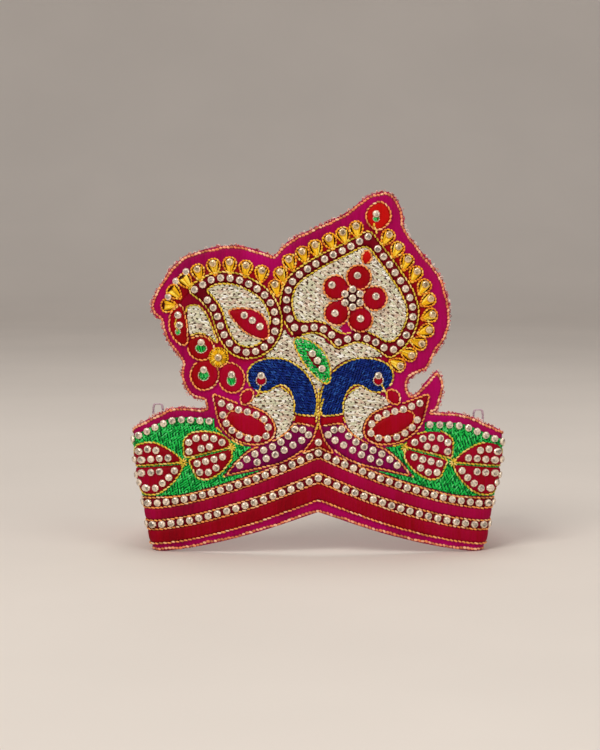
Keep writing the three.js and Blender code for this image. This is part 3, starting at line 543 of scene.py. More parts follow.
class Sewing:
    """Shapes gathered into one piece: points with a tone each, and triangles with a finish each."""

    def __init__(self):
        self.points, self.triangles, self.tones, self.finishes, self.smooth = [], [], [], [], []
        self.count = 0

    def add(self, points, triangles, tone=0.5, finish=0, smooth=True):
        """Takes in one shape, its triangles as numbers of its own points."""
        self.points.append(points.reshape(-1, 3))
        self.triangles.append(triangles.reshape(-1, 3) + self.count)
        self.tones.append(np.broadcast_to(tone, points.shape[:-1]).reshape(-1))
        self.finishes.append(np.full(len(self.triangles[-1]), finish))
        self.smooth.append(np.full(len(self.triangles[-1]), smooth))
        self.count += len(self.points[-1])

    def piece(self, name, finishes, slot, nodes=()):
        """Puts the shapes into one mesh object that rides on the crown and stands for the named solids."""
        mesh = bpy.data.meshes.new(name)
        triangles = np.vstack(self.triangles).astype(np.int32)
        mesh.vertices.add(self.count)
        mesh.vertices.foreach_set("co", np.vstack(self.points).astype(np.float32).ravel())
        mesh.loops.add(triangles.size)
        mesh.loops.foreach_set("vertex_index", triangles.ravel())
        mesh.polygons.add(len(triangles))
        mesh.polygons.foreach_set("loop_start", np.arange(0, triangles.size, 3, dtype=np.int32))
        mesh.polygons.foreach_set("material_index", np.concatenate(self.finishes).astype(np.int32))
        mesh.polygons.foreach_set("use_smooth", np.concatenate(self.smooth))
        tone = mesh.attributes.new("tone", "FLOAT", "POINT")
        tone.data.foreach_set("value", np.concatenate(self.tones).astype(np.float32))
        mesh.update(calc_edges=True)
        if mesh.validate():
            raise RuntimeError(f"{name} has faces that don't close up")
        for finish in finishes:
            mesh.materials.append(finish)
        piece = bpy.data.objects.new(name, mesh)
        bpy.context.scene.collection.objects.link(piece)
        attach(piece, "root")
        if nodes:
            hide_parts(*nodes)


PATCH_RIM = 0.2  # share of a patch's rise that stands upright at its rim


def patch(sewing, loops, low, rise, round_off, step, finish=0):
    """A sewn-on patch of cloth inside outlines: flat below and upright at the rim.

    Above the rim it rises by 1 - exp(-distance from the edge / round_off).
    """
    places, triangles, distance = trimmed_grid(loops, step)
    count = len(places)
    top = on_cloth(places, low + rise * (PATCH_RIM + (1 - PATCH_RIM) * (1 - np.exp(-distance / round_off))))
    a, b = open_edges(triangles).T
    rim = quads(a + count, b + count, b, a)
    points = np.vstack([top, on_cloth(places, low)])
    sewing.add(points, np.vstack([triangles, triangles[:, ::-1] + count, rim]), finish=finish)


def tube_triangles(sides, rings, cut):
    """Triangles of one thread: bands of quads between its rings of points, and a fan to a tip at each end.

    Each quad is cut in two from its corner of the number given as cut.
    """
    k = np.arange(sides)
    nxt = (k + 1) % sides
    start = (np.arange(rings - 1) * sides)[:, None]
    last, tip = (rings - 1) * sides, rings * sides
    corners = [k + start, nxt + start, nxt + start + sides, k + start + sides]
    bands = quads(*corners[cut:], *corners[:cut])
    fans = [np.stack([nxt, k, 0 * k + tip], -1), np.stack([k + last, nxt + last, 0 * k + tip + 1], -1)]
    return np.vstack([bands, *fans])


STROKE_SIDES = 6
STROKE_ALONG = np.array([0.13, 0.5, 0.87])  # shares of a stroke's length at its rings
STROKE_FULL = np.array([0.8, 1.0, 0.8])  # shares of its width and rise there
STROKE_TIP = 0.35  # share of its rise at its tips
STROKE_TONES = 0.8
STROKE = tube_triangles(STROKE_SIDES, len(STROKE_ALONG), cut=1)


def strokes(sewing, start, end, width, rise, base, finish=0):
    """Thread strokes on the cloth: each six-sided, drawn in at both ends and in a tone of its own.

    Across the stroke stands half its width times a cosine, and over the base half its rise times one plus
    a sine.
    """
    count = len(start)
    way = end - start
    across = -right_of(unit(way))
    cosine, sine = round_about(STROKE_SIDES).T
    side = STROKE_FULL[:, None] * cosine
    up = 0.5 + 0.5 * STROKE_FULL[:, None] * sine
    width, rise, base = (np.broadcast_to(v, count)[:, None, None] for v in (width, rise, base))
    flat = (
        start[:, None, None]
        + way[:, None, None] * STROKE_ALONG[:, None, None]
        + across[:, None, None] * (0.5 * width * side)[..., None]
    )
    flat = np.concatenate([flat.reshape(count, -1, 2), start[:, None], end[:, None]], 1)
    tips = np.repeat((base + STROKE_TIP * rise)[:, 0], 2, 1)
    height = np.concatenate([(base + rise * up).reshape(count, -1), tips], 1)
    points = on_cloth(flat, height)
    tone = STROKE_TONES * random.random(count)[:, None]
    sewing.add(points, copies(STROKE, count, points.shape[1]), tone, finish)


STITCH_SAMPLES = 11  # places along a stitch that are tried
STITCH_LEAST = 3  # of which so many have to be inside
STITCH_STAGGER = 0.38  # how far a row's stitches start past those of the row below, in lengths
STITCH_UNEVEN = 0.17  # how far a stitch starts before or after its place, in lengths
STITCH_OVERRUN = 1.2  # reach of a stitch that leaves no gap, in lengths
GAP_SHARES = (0.3, 1.4)  # least and most of the gap that is left


def rows_of_strokes(loops, angle, length, pitch, gap, sway, every=1):
    """Rows of running stitches inside outlines: rows a pitch apart at an angle, stitches a length apart.

    Every so-many-th row leaves a gap for the needle's hole after each stitch, set as in brickwork, and the
    rows between run on past it; a stitch is cut to the part of it that is inside, and its ends sway a little.
    """
    turn = math.radians(angle)
    along, up = np.array([math.cos(turn), math.sin(turn)]), np.array([-math.sin(turn), math.cos(turn)])
    corners = np.vstack(loops)
    reach_along, reach_up = corners @ along, corners @ up
    row = np.arange(math.floor(reach_up.min() / pitch), math.ceil(reach_up.max() / pitch) + 1)
    column = np.arange(math.floor(reach_along.min() / length) - 1, math.ceil(reach_along.max() / length) + 1)
    row, column = (v.ravel() for v in np.meshgrid(row, column))
    count = len(row)
    holed = row % every == 0
    offset = np.where(holed & (every > 1), 0.5 * (row // every % 2), row * STITCH_STAGGER % 1)
    from_along = (column + offset + random.uniform(-STITCH_UNEVEN, STITCH_UNEVEN, count)) * length
    share = np.linspace(0, 1, STITCH_SAMPLES)
    reach = np.where(holed, length - gap * random.uniform(*GAP_SHARES, count), STITCH_OVERRUN * length)
    at = from_along[:, None] + share * reach[:, None]
    shift = row[:, None] * pitch + (share - 0.5) * random.uniform(-sway, sway, (count, 1))
    place = at[..., None] * along + shift[..., None] * up
    kept = within(place.reshape(-1, 2), loops).reshape(at.shape)
    enough = kept.sum(1) >= STITCH_LEAST
    place, kept = place[enough], kept[enough]
    index = np.arange(len(place))
    return place[index, kept.argmax(1)], place[index, STITCH_SAMPLES - 1 - kept[:, ::-1].argmax(1)]


COUCH_RISE = 0.5
COUCH_SLANT = 0.12  # how far a stroke's ends stand off the path, in strokes
COUCH_WANDER = 0.03
COUCH_REACHES = (0.44, 0.58)  # least and most half length, in strokes
COUCH_WIDTHS = (0.8, 1.1)


def couched(sewing, path, pitch, width, base, finish=0):
    """A couched cord along an open path: strokes end to end, each slanted, uneven in width and reach."""
    path = spaced(path, pitch)
    way = np.diff(path, axis=0)
    right = right_of(way)
    count = len(way)
    middle = path[:-1] + way / 2 + right * random.normal(0, COUCH_WANDER, (count, 1))
    reach = way * random.uniform(*COUCH_REACHES, (count, 1)) + right * COUCH_SLANT
    width = width * random.uniform(*COUCH_WIDTHS, count)
    strokes(sewing, middle - reach, middle + reach, width, COUCH_RISE, base, finish)


def free_runs(loop, laid, room=0.8, least=4):
    """The stretches of a closed path that keep their distance from the places already sewn, as open paths."""
    clear = np.sqrt(((loop[:, None] - laid) ** 2).sum(-1)).min(1) > room
    if clear.all():
        return [closed_path(loop)]
    start = clear.argmin()
    loop, clear = np.roll(loop, -start, 0), np.roll(clear, -start)
    change = np.flatnonzero(np.diff(clear.astype(int))) + 1
    return [run for run in np.split(loop, change)[1::2] if len(run) >= least]


# A stone's rings of corners, from its foot to its table: share of its height, turn in sides, painted
# reflection tone.
STONE_SIDES = 8
STONE_RISES = np.array([0.0, 0.3, 0.78, 1.0])
STONE_TURNS = np.array([0, 0, 0.5, 0.0])
STONE_REFLECTION_TONES = np.array([0.0, 0.3, 0.75, 0.15])
# Painted glints: the spread of each corner's reflection tone at random.
STONE_SPARKLE = 0.45  # how far a corner's tone may lie from its ring's
STONE_TIPPED = 0.06
STONE_SHOULDER = 0.08  # how far the third ring stands out past halfway between girdle and table


def stone_triangles():
    """Triangles of one stone: three bands between its four rings, its table and its foot."""
    k = np.arange(STONE_SIDES)
    nxt = (k + 1) % STONE_SIDES
    foot, girdle, shoulder, table = np.arange(len(STONE_RISES)) * STONE_SIDES
    fan = np.arange(1, STONE_SIDES - 1)
    return np.vstack(
        [
            quads(k + foot, nxt + foot, nxt + girdle, k + girdle),
            quads(nxt + girdle, nxt + shoulder, k + shoulder, k + girdle),
            quads(k + shoulder, nxt + shoulder, nxt + table, k + table),
            np.stack([0 * fan, fan, fan + 1], -1) + table,
            np.stack([0 * fan, fan + 1, fan], -1) + foot,
        ]
    )


def stones(sewing, middles, sizes, base, finish=0):
    """Faceted stones: an upright girdle of eight sides, two rows of facets half a side apart, a flat table.

    Each stands on the cloth at its base, turned at random and tipped by a few degrees.
    """
    count = len(middles)
    radius, table = size(sizes, "stone_radius"), size(sizes, "table_radius")
    ring = np.array([radius, radius, 0.5 * (radius + table) + STONE_SHOULDER, table])
    rise = STONE_RISES * STONE_HEIGHT
    side = 2 * math.pi / STONE_SIDES
    turn = random.uniform(0, math.pi, (count, 1, 1))
    angle = (np.arange(STONE_SIDES) + STONE_TURNS[:, None]) * side + turn
    offset = ring[:, None, None] * np.stack([np.cos(angle), np.sin(angle)], -1)
    tip = random.normal(0, STONE_TIPPED, (count, 1, 1, 2))
    height = base + rise[:, None] + (offset * tip).sum(-1) * (rise > 0)[:, None]
    points = on_cloth((middles[:, None, None] + offset).reshape(count, -1, 2), height.reshape(count, -1))
    # Painted reflections: a bright shoulder ring, a dark girdle and table, glints at random.
    tone = STONE_REFLECTION_TONES[:, None] + random.uniform(-STONE_SPARKLE, STONE_SPARKLE, height.shape)
    triangles = copies(stone_triangles(), count, points.shape[1])
    sewing.add(points, triangles, tone.reshape(count, -1), finish, smooth=False)


def tubes(sewing, paths, radius, sides, tone, finish=0):
    """Round threads in space: for each path, rings of points square to it, closed by a point at both ends.

    A ring is the radius times cosine and sine along two ways across the path.
    """
    count, length = paths.shape[:2]
    way = unit(np.gradient(paths, axis=1))
    lean = np.where(np.abs(way[..., 2:]) > 0.8, np.array([1.0, 0, 0]), np.array([0, 0, 1.0]))
    first = unit(np.cross(way, lean))
    second = np.cross(way, first)
    cosine, sine = round_about(sides).T[..., None]
    points = paths[:, :, None] + radius * (first[:, :, None] * cosine + second[:, :, None] * sine)
    points = np.concatenate([points.reshape(count, -1, 3), paths[:, :1], paths[:, -1:]], 1)
    one = tube_triangles(sides, length, cut=0)
    sewing.add(points, copies(one, count, points.shape[1]), tone, finish)


def given(made, **values):
    """A shader node with some of its inputs set, each named by its socket with _ for a space."""
    for name, value in values.items():
        made.inputs[name.replace("_", " ")].default_value = value
    return made


def node(tree, kind, **values):
    """A new shader node with the given inputs."""
    return given(tree.nodes.new(kind), **values)


def finish_base(name):
    """A new material with its node tree, main shader and object coordinates."""
    finish = bpy.data.materials.new(name)
    finish.use_nodes = True
    tree = finish.node_tree
    return finish, tree, tree.nodes["Principled BSDF"], node(tree, "ShaderNodeTexCoord").outputs["Object"]


def shaded(colour, share):
    """The colour made darker or lighter by a share."""
    return tuple(min(1.0, c * share) for c in colour)


def shades_of(colour, *shares):
    """The colour made darker or lighter by each share."""
    return [shaded(colour, share) for share in shares]


def mixed(colour, other, share):
    """A colour moved a share of the way towards another."""
    return tuple(c + (o - c) * share for c, o in zip(colour, other))


def colour_steps(tree, source, stops):
    """A colour ramp over a varying value; stops are pairs of place and colour."""
    ramp = node(tree, "ShaderNodeValToRGB")
    elements = ramp.color_ramp.elements
    while len(elements) < len(stops):
        elements.new(0.5)
    for element, (place, colour) in zip(elements, stops):
        element.position, element.color = place, (*colour, 1.0)
    tree.links.new(source, ramp.inputs["Fac"])
    return ramp.outputs["Color"]


def noise(tree, coordinates, scale, detail=2.0):
    """A noise pattern in the given coordinates."""
    made = node(tree, "ShaderNodeTexNoise", Scale=scale, Detail=detail)
    tree.links.new(coordinates, made.inputs["Vector"])
    return made.outputs["Fac"]


def stretched_noise(tree, coordinates, scale, detail):
    """A noise pattern drawn out by a scale along each axis."""
    mapping = node(tree, "ShaderNodeMapping", Scale=scale)
    tree.links.new(coordinates, mapping.inputs["Vector"])
    return noise(tree, mapping.outputs["Vector"], 1.0, detail)


def tone_of(tree):
    """The tone that each point of a piece holds."""
    tone = node(tree, "ShaderNodeAttribute")
    tone.attribute_name = "tone"
    return tone.outputs["Fac"]


def laid_over(tree, pattern, share, base):
    """A share of a pattern laid over a varying value: share times pattern plus base."""
    both_values = node(tree, "ShaderNodeMath")
    both_values.operation = "MULTIPLY_ADD"
    tree.links.new(pattern, both_values.inputs[0])
    both_values.inputs[1].default_value = share
    tree.links.new(base, both_values.inputs[2])
    return both_values.outputs[0]


def glossed(tree, shader, source, stops):
    """Gloss from a varying value; stops are pairs of place and roughness."""
    greys = [(place, (roughness,) * 3) for place, roughness in stops]
    tree.links.new(colour_steps(tree, source, greys), shader.inputs["Roughness"])


def bumped(tree, shader, source, strength=0.3, distance=0.0001):
    """Small relief on the shader from a varying value."""
    bump = node(tree, "ShaderNodeBump", Strength=strength, Distance=distance)
    tree.links.new(source, bump.inputs["Height"])
    tree.links.new(bump.outputs["Normal"], shader.inputs["Normal"])


def satin(name, colour, second=None, inner=None):
    """Woven satin: broad folds and fine upright threads painted in shade and sheen on its colour, the threads
    also in gloss and relief.

    Where an inner colour is given, the cloth turns to it as the piece's tone goes from none to one.
    """
    finish, tree, shader, coordinates = finish_base(name)
    second = second or colour
    threads = stretched_noise(tree, coordinates, (1500, 1500, 70), 4.0)
    # Broad folds that only lighten and darken the colour: painted shade and sheen.
    fold_shading = stretched_noise(tree, coordinates, (55, 55, 20), 2.0)
    painted_shading = laid_over(tree, threads, 0.5, fold_shading)
    # Painted shade and highlight: darker and lighter copies of the colour, the second colour as the painted
    # highlight; it also tints the sheen.
    stops = [(0.48, shaded(colour, 0.62)), (0.7, shaded(colour, 0.95)), (0.96, shaded(second, 1.08))]
    cloth = colour_steps(tree, painted_shading, stops)
    if inner:
        # The inner colour gets the same painted shade and highlight.
        stops = [(0.48, shaded(inner, 0.6)), (0.96, shaded(inner, 1.1))]
        turned = node(tree, "ShaderNodeMixRGB")
        tree.links.new(tone_of(tree), turned.inputs["Fac"])
        tree.links.new(cloth, turned.inputs["Color1"])
        tree.links.new(colour_steps(tree, painted_shading, stops), turned.inputs["Color2"])
        cloth = turned.outputs["Color"]
    tree.links.new(cloth, shader.inputs["Base Color"])
    glossed(tree, shader, threads, [(0.3, 0.425), (0.7, 0.6)])
    given(shader, Sheen_Weight=0.03, Sheen_Roughness=0.4, Specular_IOR_Level=0.06)
    given(shader, Sheen_Tint=(*shaded(second, 1.4), 1.0))
    bumped(tree, shader, threads)
    return finish


def thread(name, colours, metal=0.0, roughness=0.42):
    """Embroidery thread: each stroke has a tone from a row of colours, with strands in gloss and relief."""
    finish, tree, shader, coordinates = finish_base(name)
    strands = noise(tree, coordinates, 2600)
    stops = list(zip(np.linspace(0.2, 1.0, len(colours)), colours))
    shade = colour_steps(tree, laid_over(tree, strands, 0.4, tone_of(tree)), stops)
    tree.links.new(shade, shader.inputs["Base Color"])
    glossed(tree, shader, strands, [(0.25, 0.75 * roughness), (0.8, 1.3 * roughness)])
    given(shader, Metallic=metal, Specular_IOR_Level=0.14)
    bumped(tree, shader, strands)
    return finish


def rhinestone(name, colour):
    """Foil-backed glass: each corner has its own painted reflection tone, grey glints to milky white, under a
    clear coat.
    """
    finish, tree, shader, coordinates = finish_base(name)
    glint_mottle = noise(tree, coordinates, 1600)
    # Painted reflections: darker and lighter copies of the stone colour over each corner's tone and the
    # mottle.
    shares = [(0.2, 0.22), (0.55, 0.62), (0.85, 0.92), (1.0, 1.1)]
    stops = [(place, shaded(colour, share)) for place, share in shares]
    shade = colour_steps(tree, laid_over(tree, glint_mottle, 0.7, tone_of(tree)), stops)
    tree.links.new(shade, shader.inputs["Base Color"])
    glossed(tree, shader, glint_mottle, [(0.3, 0.12), (0.8, 0.3)])
    given(shader, Metallic=0.25, Coat_Weight=0.4, Coat_Roughness=0.08)
    return finish


def plain_floor(name, colour):
    """A pale matt table top with the faintest mottling."""
    finish, tree, shader, coordinates = finish_base(name)
    stops = [(0.3, shaded(colour, 0.97)), (0.7, shaded(colour, 1.02))]
    mottle = colour_steps(tree, noise(tree, coordinates, 6.0, 3.0), stops)
    tree.links.new(mottle, shader.inputs["Base Color"])
    given(shader, Roughness=0.7)
    return finish


def face_of(name):
    """The height at which a solid's foot stands: on the panel, or on the pads below it."""
    points, _ = node_triangles(name)
    return RAISED_FOOT if flattened(points)[1].min() > (GROUND + RAISED_FOOT) / 2 else GROUND


def on_panel(name):
    """Whether a solid stands on the panel itself."""
    return face_of(name) == GROUND


def outlines(name):
    """Smooth outlines of a pad, from the solid's foot."""
    loops = [eased(loop) for loop in solid_outlines(name, face_of(name))]
    if not loops:
        raise RuntimeError(f"{name} has no outline at its foot")
    return loops


def oval(middle, half_width, half_height):
    """An ellipse's outline: half width times a cosine across, half height times a sine up."""
    return np.array(middle) + round_about(40) * (half_width, half_height)


def disc(middle, radius):
    """A circle's outline."""
    return oval(middle, radius, radius)


def sewn(name):
    """Outlines of a motif as sewn: its solid's foot, or the discs that the flower and eyes are made of."""
    if name == "flower":
        return [disc(middle, FLOWER_PETAL_RADIUS) for middle in FLOWER_PETALS]
    if name.startswith("eye"):
        return [disc(solid_stones(name)[0] - (0, EYE_DROP), EYE_RADIUS)]
    loops = outlines(name)
    if name in TOP_ROWS:
        return [loops[0] - (0, TOP_ROW_LOWERED)]
    if name == "tip_bud":
        foot = loops[0][:, 1].min()
        return [(loops[0] - (0, foot)) * (1, BUD_LOWERED) + (0, foot)]
    let_out = [amount for part, amount in LET_OUT.items() if name.startswith(part)]
    return [moved_out(loops[0], let_out[0])] if let_out else loops


def green_touch(name):
    """Outline of the green touch below a motif's first stone."""
    down, half_width, half_height = GREEN_TOUCHES[name]
    return oval(solid_stones(name)[0] - (0, down), half_width, half_height)


def teardrops(stone, out, width):
    """Outlines of drops: along its axis each runs as a cosine from its tail's tip to its round end.

    Half its width goes as the sine of the turn times the sine of half the turn, which is 0.77 at most.
    """
    turn = np.linspace(0, 2 * math.pi, 48, endpoint=False)
    along = -DROP_TAIL + (DROP_TAIL + DROP_REACH) * (1 - np.cos(turn)) / 2
    half = 0.5 * width / 0.77 * np.sin(turn) * np.sin(turn / 2)
    shapes = stone[:, None] + along[:, None] * out[:, None] + half[:, None] * right_of(out)[:, None]
    return [turned_left(shape) for shape in shapes]


def drops_of(row):
    """Where a row of drops has its stones, in order round the paisley, and the way that each drop points."""
    stone = solid_stones(row)
    if row in DROP_ROWS:
        spoke = stone - outlines(DROP_ROWS[row])[0].mean(0)
        mean = spoke.mean(0)
        stone = stone[np.arctan2(mean[0] * spoke[:, 1] - mean[1] * spoke[:, 0], spoke @ mean).argsort()]
    lean = np.radians(DROP_LEANS[row])
    return stone, np.stack([np.sin(lean), np.cos(lean)], -1)


RIM_DRAWN_IN = 0.45  # how far the panel's faces draw in at its rim
RIM_ROUNDING = 0.6
RIM_OUT = 0.3
CRIMSON_INSETS = (6.5, 8.5)  # the crest's cloth turns crimson between these distances from its edge
CRIMSON_LEVELS = (72.0, 78.0)  # and between these levels
FLOOR_LEVEL = (-np.inf, 0)  # lowest place on the flat cloth


class CROWN_OT_panel(bpy.types.Operator):
    """Magenta satin panel and side flaps: faces drawn in by exp(-distance from the edge), a rounded rim"""

    bl_idname = "crown.panel"
    bl_label = "Satin panel"

    def execute(self, context):
        _, colours = settings()
        sewing = Sewing()
        loop = np.maximum(eased(solid_outlines("crown_panel", 0.0)[0], 0.8), FLOOR_LEVEL)
        places, triangles, distance = trimmed_grid([loop], 2.0)
        drawn_in = RIM_DRAWN_IN * np.exp(-distance / RIM_ROUNDING)
        count = len(places)
        a, b = open_edges(triangles).T
        right = right_of(places[b] - places[a])
        out = np.zeros_like(places)
        np.add.at(out, a, right)
        np.add.at(out, b, right)
        rim = np.maximum(places[a] + RIM_OUT * unit(out)[a], FLOOR_LEVEL)
        number = np.zeros(count, int)
        number[a] = np.arange(len(a)) + 2 * count
        c, d = number[a], number[b]
        front, back = on_cloth(places, -drawn_in), on_cloth(places, PANEL_BACK + drawn_in)
        points = np.vstack([front, back, on_cloth(rim, PANEL_BACK / 2)])
        bands = [quads(a, c, d, b), quads(c, a + count, b + count, d)]
        inside = np.interp(distance, CRIMSON_INSETS, (0, 1)) * np.interp(places[:, 1], CRIMSON_LEVELS, (0, 1))
        tone = np.concatenate([inside, 0 * inside, 0 * inside[a]])
        sewing.add(points, np.vstack([triangles, triangles[:, ::-1] + count, *bands]), tone)
        # Painted highlight of the magenta satin's folds, also used as its sheen tint.
        magenta_sheen = mixed(colours.magenta, tint(176, 0, 104), 0.5)
        inner = mixed(colours.crimson, colours.magenta, 0.2)
        finish = satin("magenta_satin", colours.magenta, magenta_sheen, inner)
        sewing.piece("satin_panel", [finish], "magenta_satin", ["crown_panel"])
        return {"FINISHED"}


STRIPE_ROWS = 8
STRIPE_RISE = 0.42
STRIPE_LIFT = 0.02
STRIPE_INSET = 0.1
RIB_RISE = 0.08
RIPPLE_RISE = 0.07


class CROWN_OT_stripes(bpy.types.Operator):
    """Crimson stripes of the band: a ribbed grid between two lines, arched across and flat behind"""

    bl_idname = "crown.stripes"
    bl_label = "Satin stripes"

    def execute(self, context):
        sizes, colours = settings()
        sewing = Sewing()
        pitch = size(sizes, "satin_pitch")
        for number, name in enumerate(STRIPES):
            loop = sewn(name)[0]
            left, right = loop[:, 0].argmin(), loop[:, 0].argmax()
            lower = np.roll(loop, -left, 0)[: (right - left) % len(loop) + 1]
            upper = np.roll(loop, -right, 0)[: (left - right) % len(loop) + 1][::-1]
            s = np.arange(loop[left, 0] + STRIPE_INSET, loop[right, 0] - STRIPE_INSET, pitch / 3)
            share = np.linspace(0, 1, STRIPE_ROWS)[:, None]
            z = np.interp(s, *lower.T) * (1 - share) + np.interp(s, *upper.T) * share
            arch = 1 - (2 * share - 1) ** 4
            ripple = RIPPLE_RISE * np.sin(s * 1.9 + 1.3 * np.sin(s * 0.31))
            rib = RIB_RISE * np.cos(2 * math.pi * s / pitch) + ripple
            flat = np.stack([np.broadcast_to(s, z.shape), z], -1)
            front = on_cloth(flat, GROUND + STRIPE_LIFT + arch * (STRIPE_RISE + rib))
            points = np.concatenate([front, on_cloth(flat[[-1, 0]], GROUND)])
            columns = len(s)
            k = np.arange(columns - 1)
            start = np.arange(len(points))[:, None] * columns
            following = np.roll(start, -1)
            sides = quads(k + start, k + 1 + start, k + 1 + following, k + following)
            ring = np.arange(1, len(points) - 1)
            ends = [
                np.stack([0 * ring, ring * columns, (ring + 1) * columns], -1),
                np.stack([0 * ring, (ring + 1) * columns, ring * columns], -1) + columns - 1,
            ]
            sewing.add(points, np.vstack([sides, *ends]), finish=number)
        # wine is the upper stripe's own colour and the lower stripe's painted highlight; the upper stripe's
        # painted highlight leans to magenta.
        wine = mixed(colours.crimson, colours.magenta, 0.3)
        finishes = [
            satin("crimson_satin", colours.crimson, wine),
            satin("crimson_satin_upper", wine, mixed(wine, colours.magenta, 0.6)),
        ]
        sewing.piece("satin_stripes", finishes, "crimson_satin", STRIPES)
        return {"FINISHED"}


class CROWN_OT_stone_grounds(bpy.types.Operator):
    """Maroon strips under the stone rows, the paisleys' rings and the wings"""

    bl_idname = "crown.stone_grounds"
    bl_label = "Stone grounds"

    def execute(self, context):
        _, colours = settings()
        sewing = Sewing()
        rise = GROUND_TOP - GROUND
        for name in STONE_ROWS + RINGS + WINGS:
            patch(sewing, outlines(name), GROUND, rise, round_off=0.6, step=1.4, finish=int(name in WINGS))
        wing = mixed(colours.maroon, colours.crimson, 0.6)
        # Painted highlight of the wing satin's folds, also its sheen tint.
        wing_sheen = mixed(colours.crimson, colours.magenta, 0.4)
        finishes = [satin("maroon_ground", colours.maroon), satin("wing_satin", wing, wing_sheen)]
        sewing.piece("stone_grounds", finishes, "crimson_satin", STONE_ROWS + RINGS + WINGS)
        return {"FINISHED"}


class CROWN_OT_cream_fields(bpy.types.Operator):
    """Cream fields of the paisleys and birds: close rows of strokes, needle holes in every third row"""

    bl_idname = "crown.cream_fields"
    bl_label = "Cream fields"

    def execute(self, context):
        sizes, colours = settings()
        sewing = Sewing()
        pitch = size(sizes, "cream_pitch")
        for name, angle in CREAM.items():
            loops = sewn(name)
            # The dark pad under the strokes is painted shade, seen in the needle holes and gaps between
            # stitches.
            patch(sewing, loops, GROUND, rise=0.14, round_off=0.4, step=2.0, finish=1)
            start, end = rows_of_strokes(loops, angle, length=1.95, pitch=pitch, gap=0.5, sway=0.45, every=3)
            rise = random.uniform(0.34, 0.5, len(start))
            strokes(sewing, start, end, pitch * 1.2, rise, GROUND + 0.08)
        cream = colours.cream
        shades = [
            shaded(cream, 0.5),
            mixed(cream, tint(206, 150, 132), 0.5),
            shaded(cream, 0.9),
            mixed(cream, tint(140, 172, 116), 0.35),
            shaded(cream, 1.1),
            tint(252, 248, 238),
        ]
        # needle_hole_shade: dark brown painted shade for the holes and gaps.
        finishes = [thread("cream_thread", shades, 0.1, 0.4), satin("needle_hole_shade", tint(88, 56, 40))]
        sewing.piece("cream_fields", finishes, "cream_thread", list(CREAM))
        return {"FINISHED"}


class CROWN_OT_green_fields(bpy.types.Operator):
    """Green fields of the band, the leaf and the touches in small petals: short strokes with gaps painted
    dark as shade
    """

    bl_idname = "crown.green_fields"
    bl_label = "Green fields"

    def execute(self, context):
        sizes, colours = settings()
        sewing = Sewing()
        pitch = size(sizes, "green_pitch")
        for name, angle in GREEN.items():
            loops = sewn(name)
            low = GROUND if on_panel(name) else RAISED
            # The pad under the strokes is painted shade, dark green in the gaps between stitches.
            patch(sewing, loops, low, rise=0.18, round_off=0.4, step=2.0, finish=1)
            start, end = rows_of_strokes(loops, angle, length=1.9, pitch=pitch, gap=0.4, sway=0.9)
            rise = random.uniform(0.3, 0.5, len(start))
            strokes(sewing, start, end, pitch * 1.1, rise, low + 0.06)
        for name in GREEN_TOUCHES:
            touch = [green_touch(name)]
            patch(sewing, touch, low=0.6, rise=0.3, round_off=0.4, step=0.8, finish=1)
            start, end = rows_of_strokes(touch, angle=70, length=1.6, pitch=0.5, gap=0.2, sway=0.5)
            strokes(sewing, start, end, width=0.5, rise=0.4, base=0.72)
        green = colours.green
        shades = [*shades_of(green, 0.36, 0.9, 1.1), mixed(green, tint(120, 240, 150), 0.5)]
        # green_gap_shade: dark green painted shade for the gaps.
        finishes = [thread("green_thread", shades), satin("green_gap_shade", tint(2, 84, 38))]
        sewing.piece("green_fields", finishes, "green_thread", list(GREEN))
        return {"FINISHED"}


class CROWN_OT_blue_necks(bpy.types.Operator):
    """Blue necks of the two birds: fine strokes, a few of them lighter"""

    bl_idname = "crown.blue_necks"
    bl_label = "Blue necks"

    def execute(self, context):
        sizes, colours = settings()
        sewing = Sewing()
        pitch = size(sizes, "blue_pitch")
        for name, angle in BLUE.items():
            loops = outlines(name)
            # The pad under the strokes is painted shade, dark blue in the gaps between stitches.
            patch(sewing, loops, GROUND, rise=0.18, round_off=0.4, step=2.0, finish=1)
            start, end = rows_of_strokes(loops, angle, length=1.8, pitch=pitch, gap=0.16, sway=0.6)
            strokes(sewing, start, end, pitch * 1.1, 0.42, GROUND + 0.08)
        blue = colours.blue
        shades = [*shades_of(blue, 0.5, 0.8, 1.0), mixed(blue, tint(60, 120, 200), 0.45)]
        # blue_gap_shade: dark blue painted shade for the gaps.
        finishes = [thread("blue_thread", shades, 0.0, 0.38), satin("blue_gap_shade", tint(2, 10, 44))]
        sewing.piece("blue_necks", finishes, "blue_thread", list(BLUE))
        return {"FINISHED"}


RED, MAROON, MAGENTA, PETAL, BRIGHT, HEART_SHADE = range(6)
EYE_TOP = 1.1
LEAF_HEART = 0.45  # size of the maroon heart in the green leaf, as a share of the leaf's


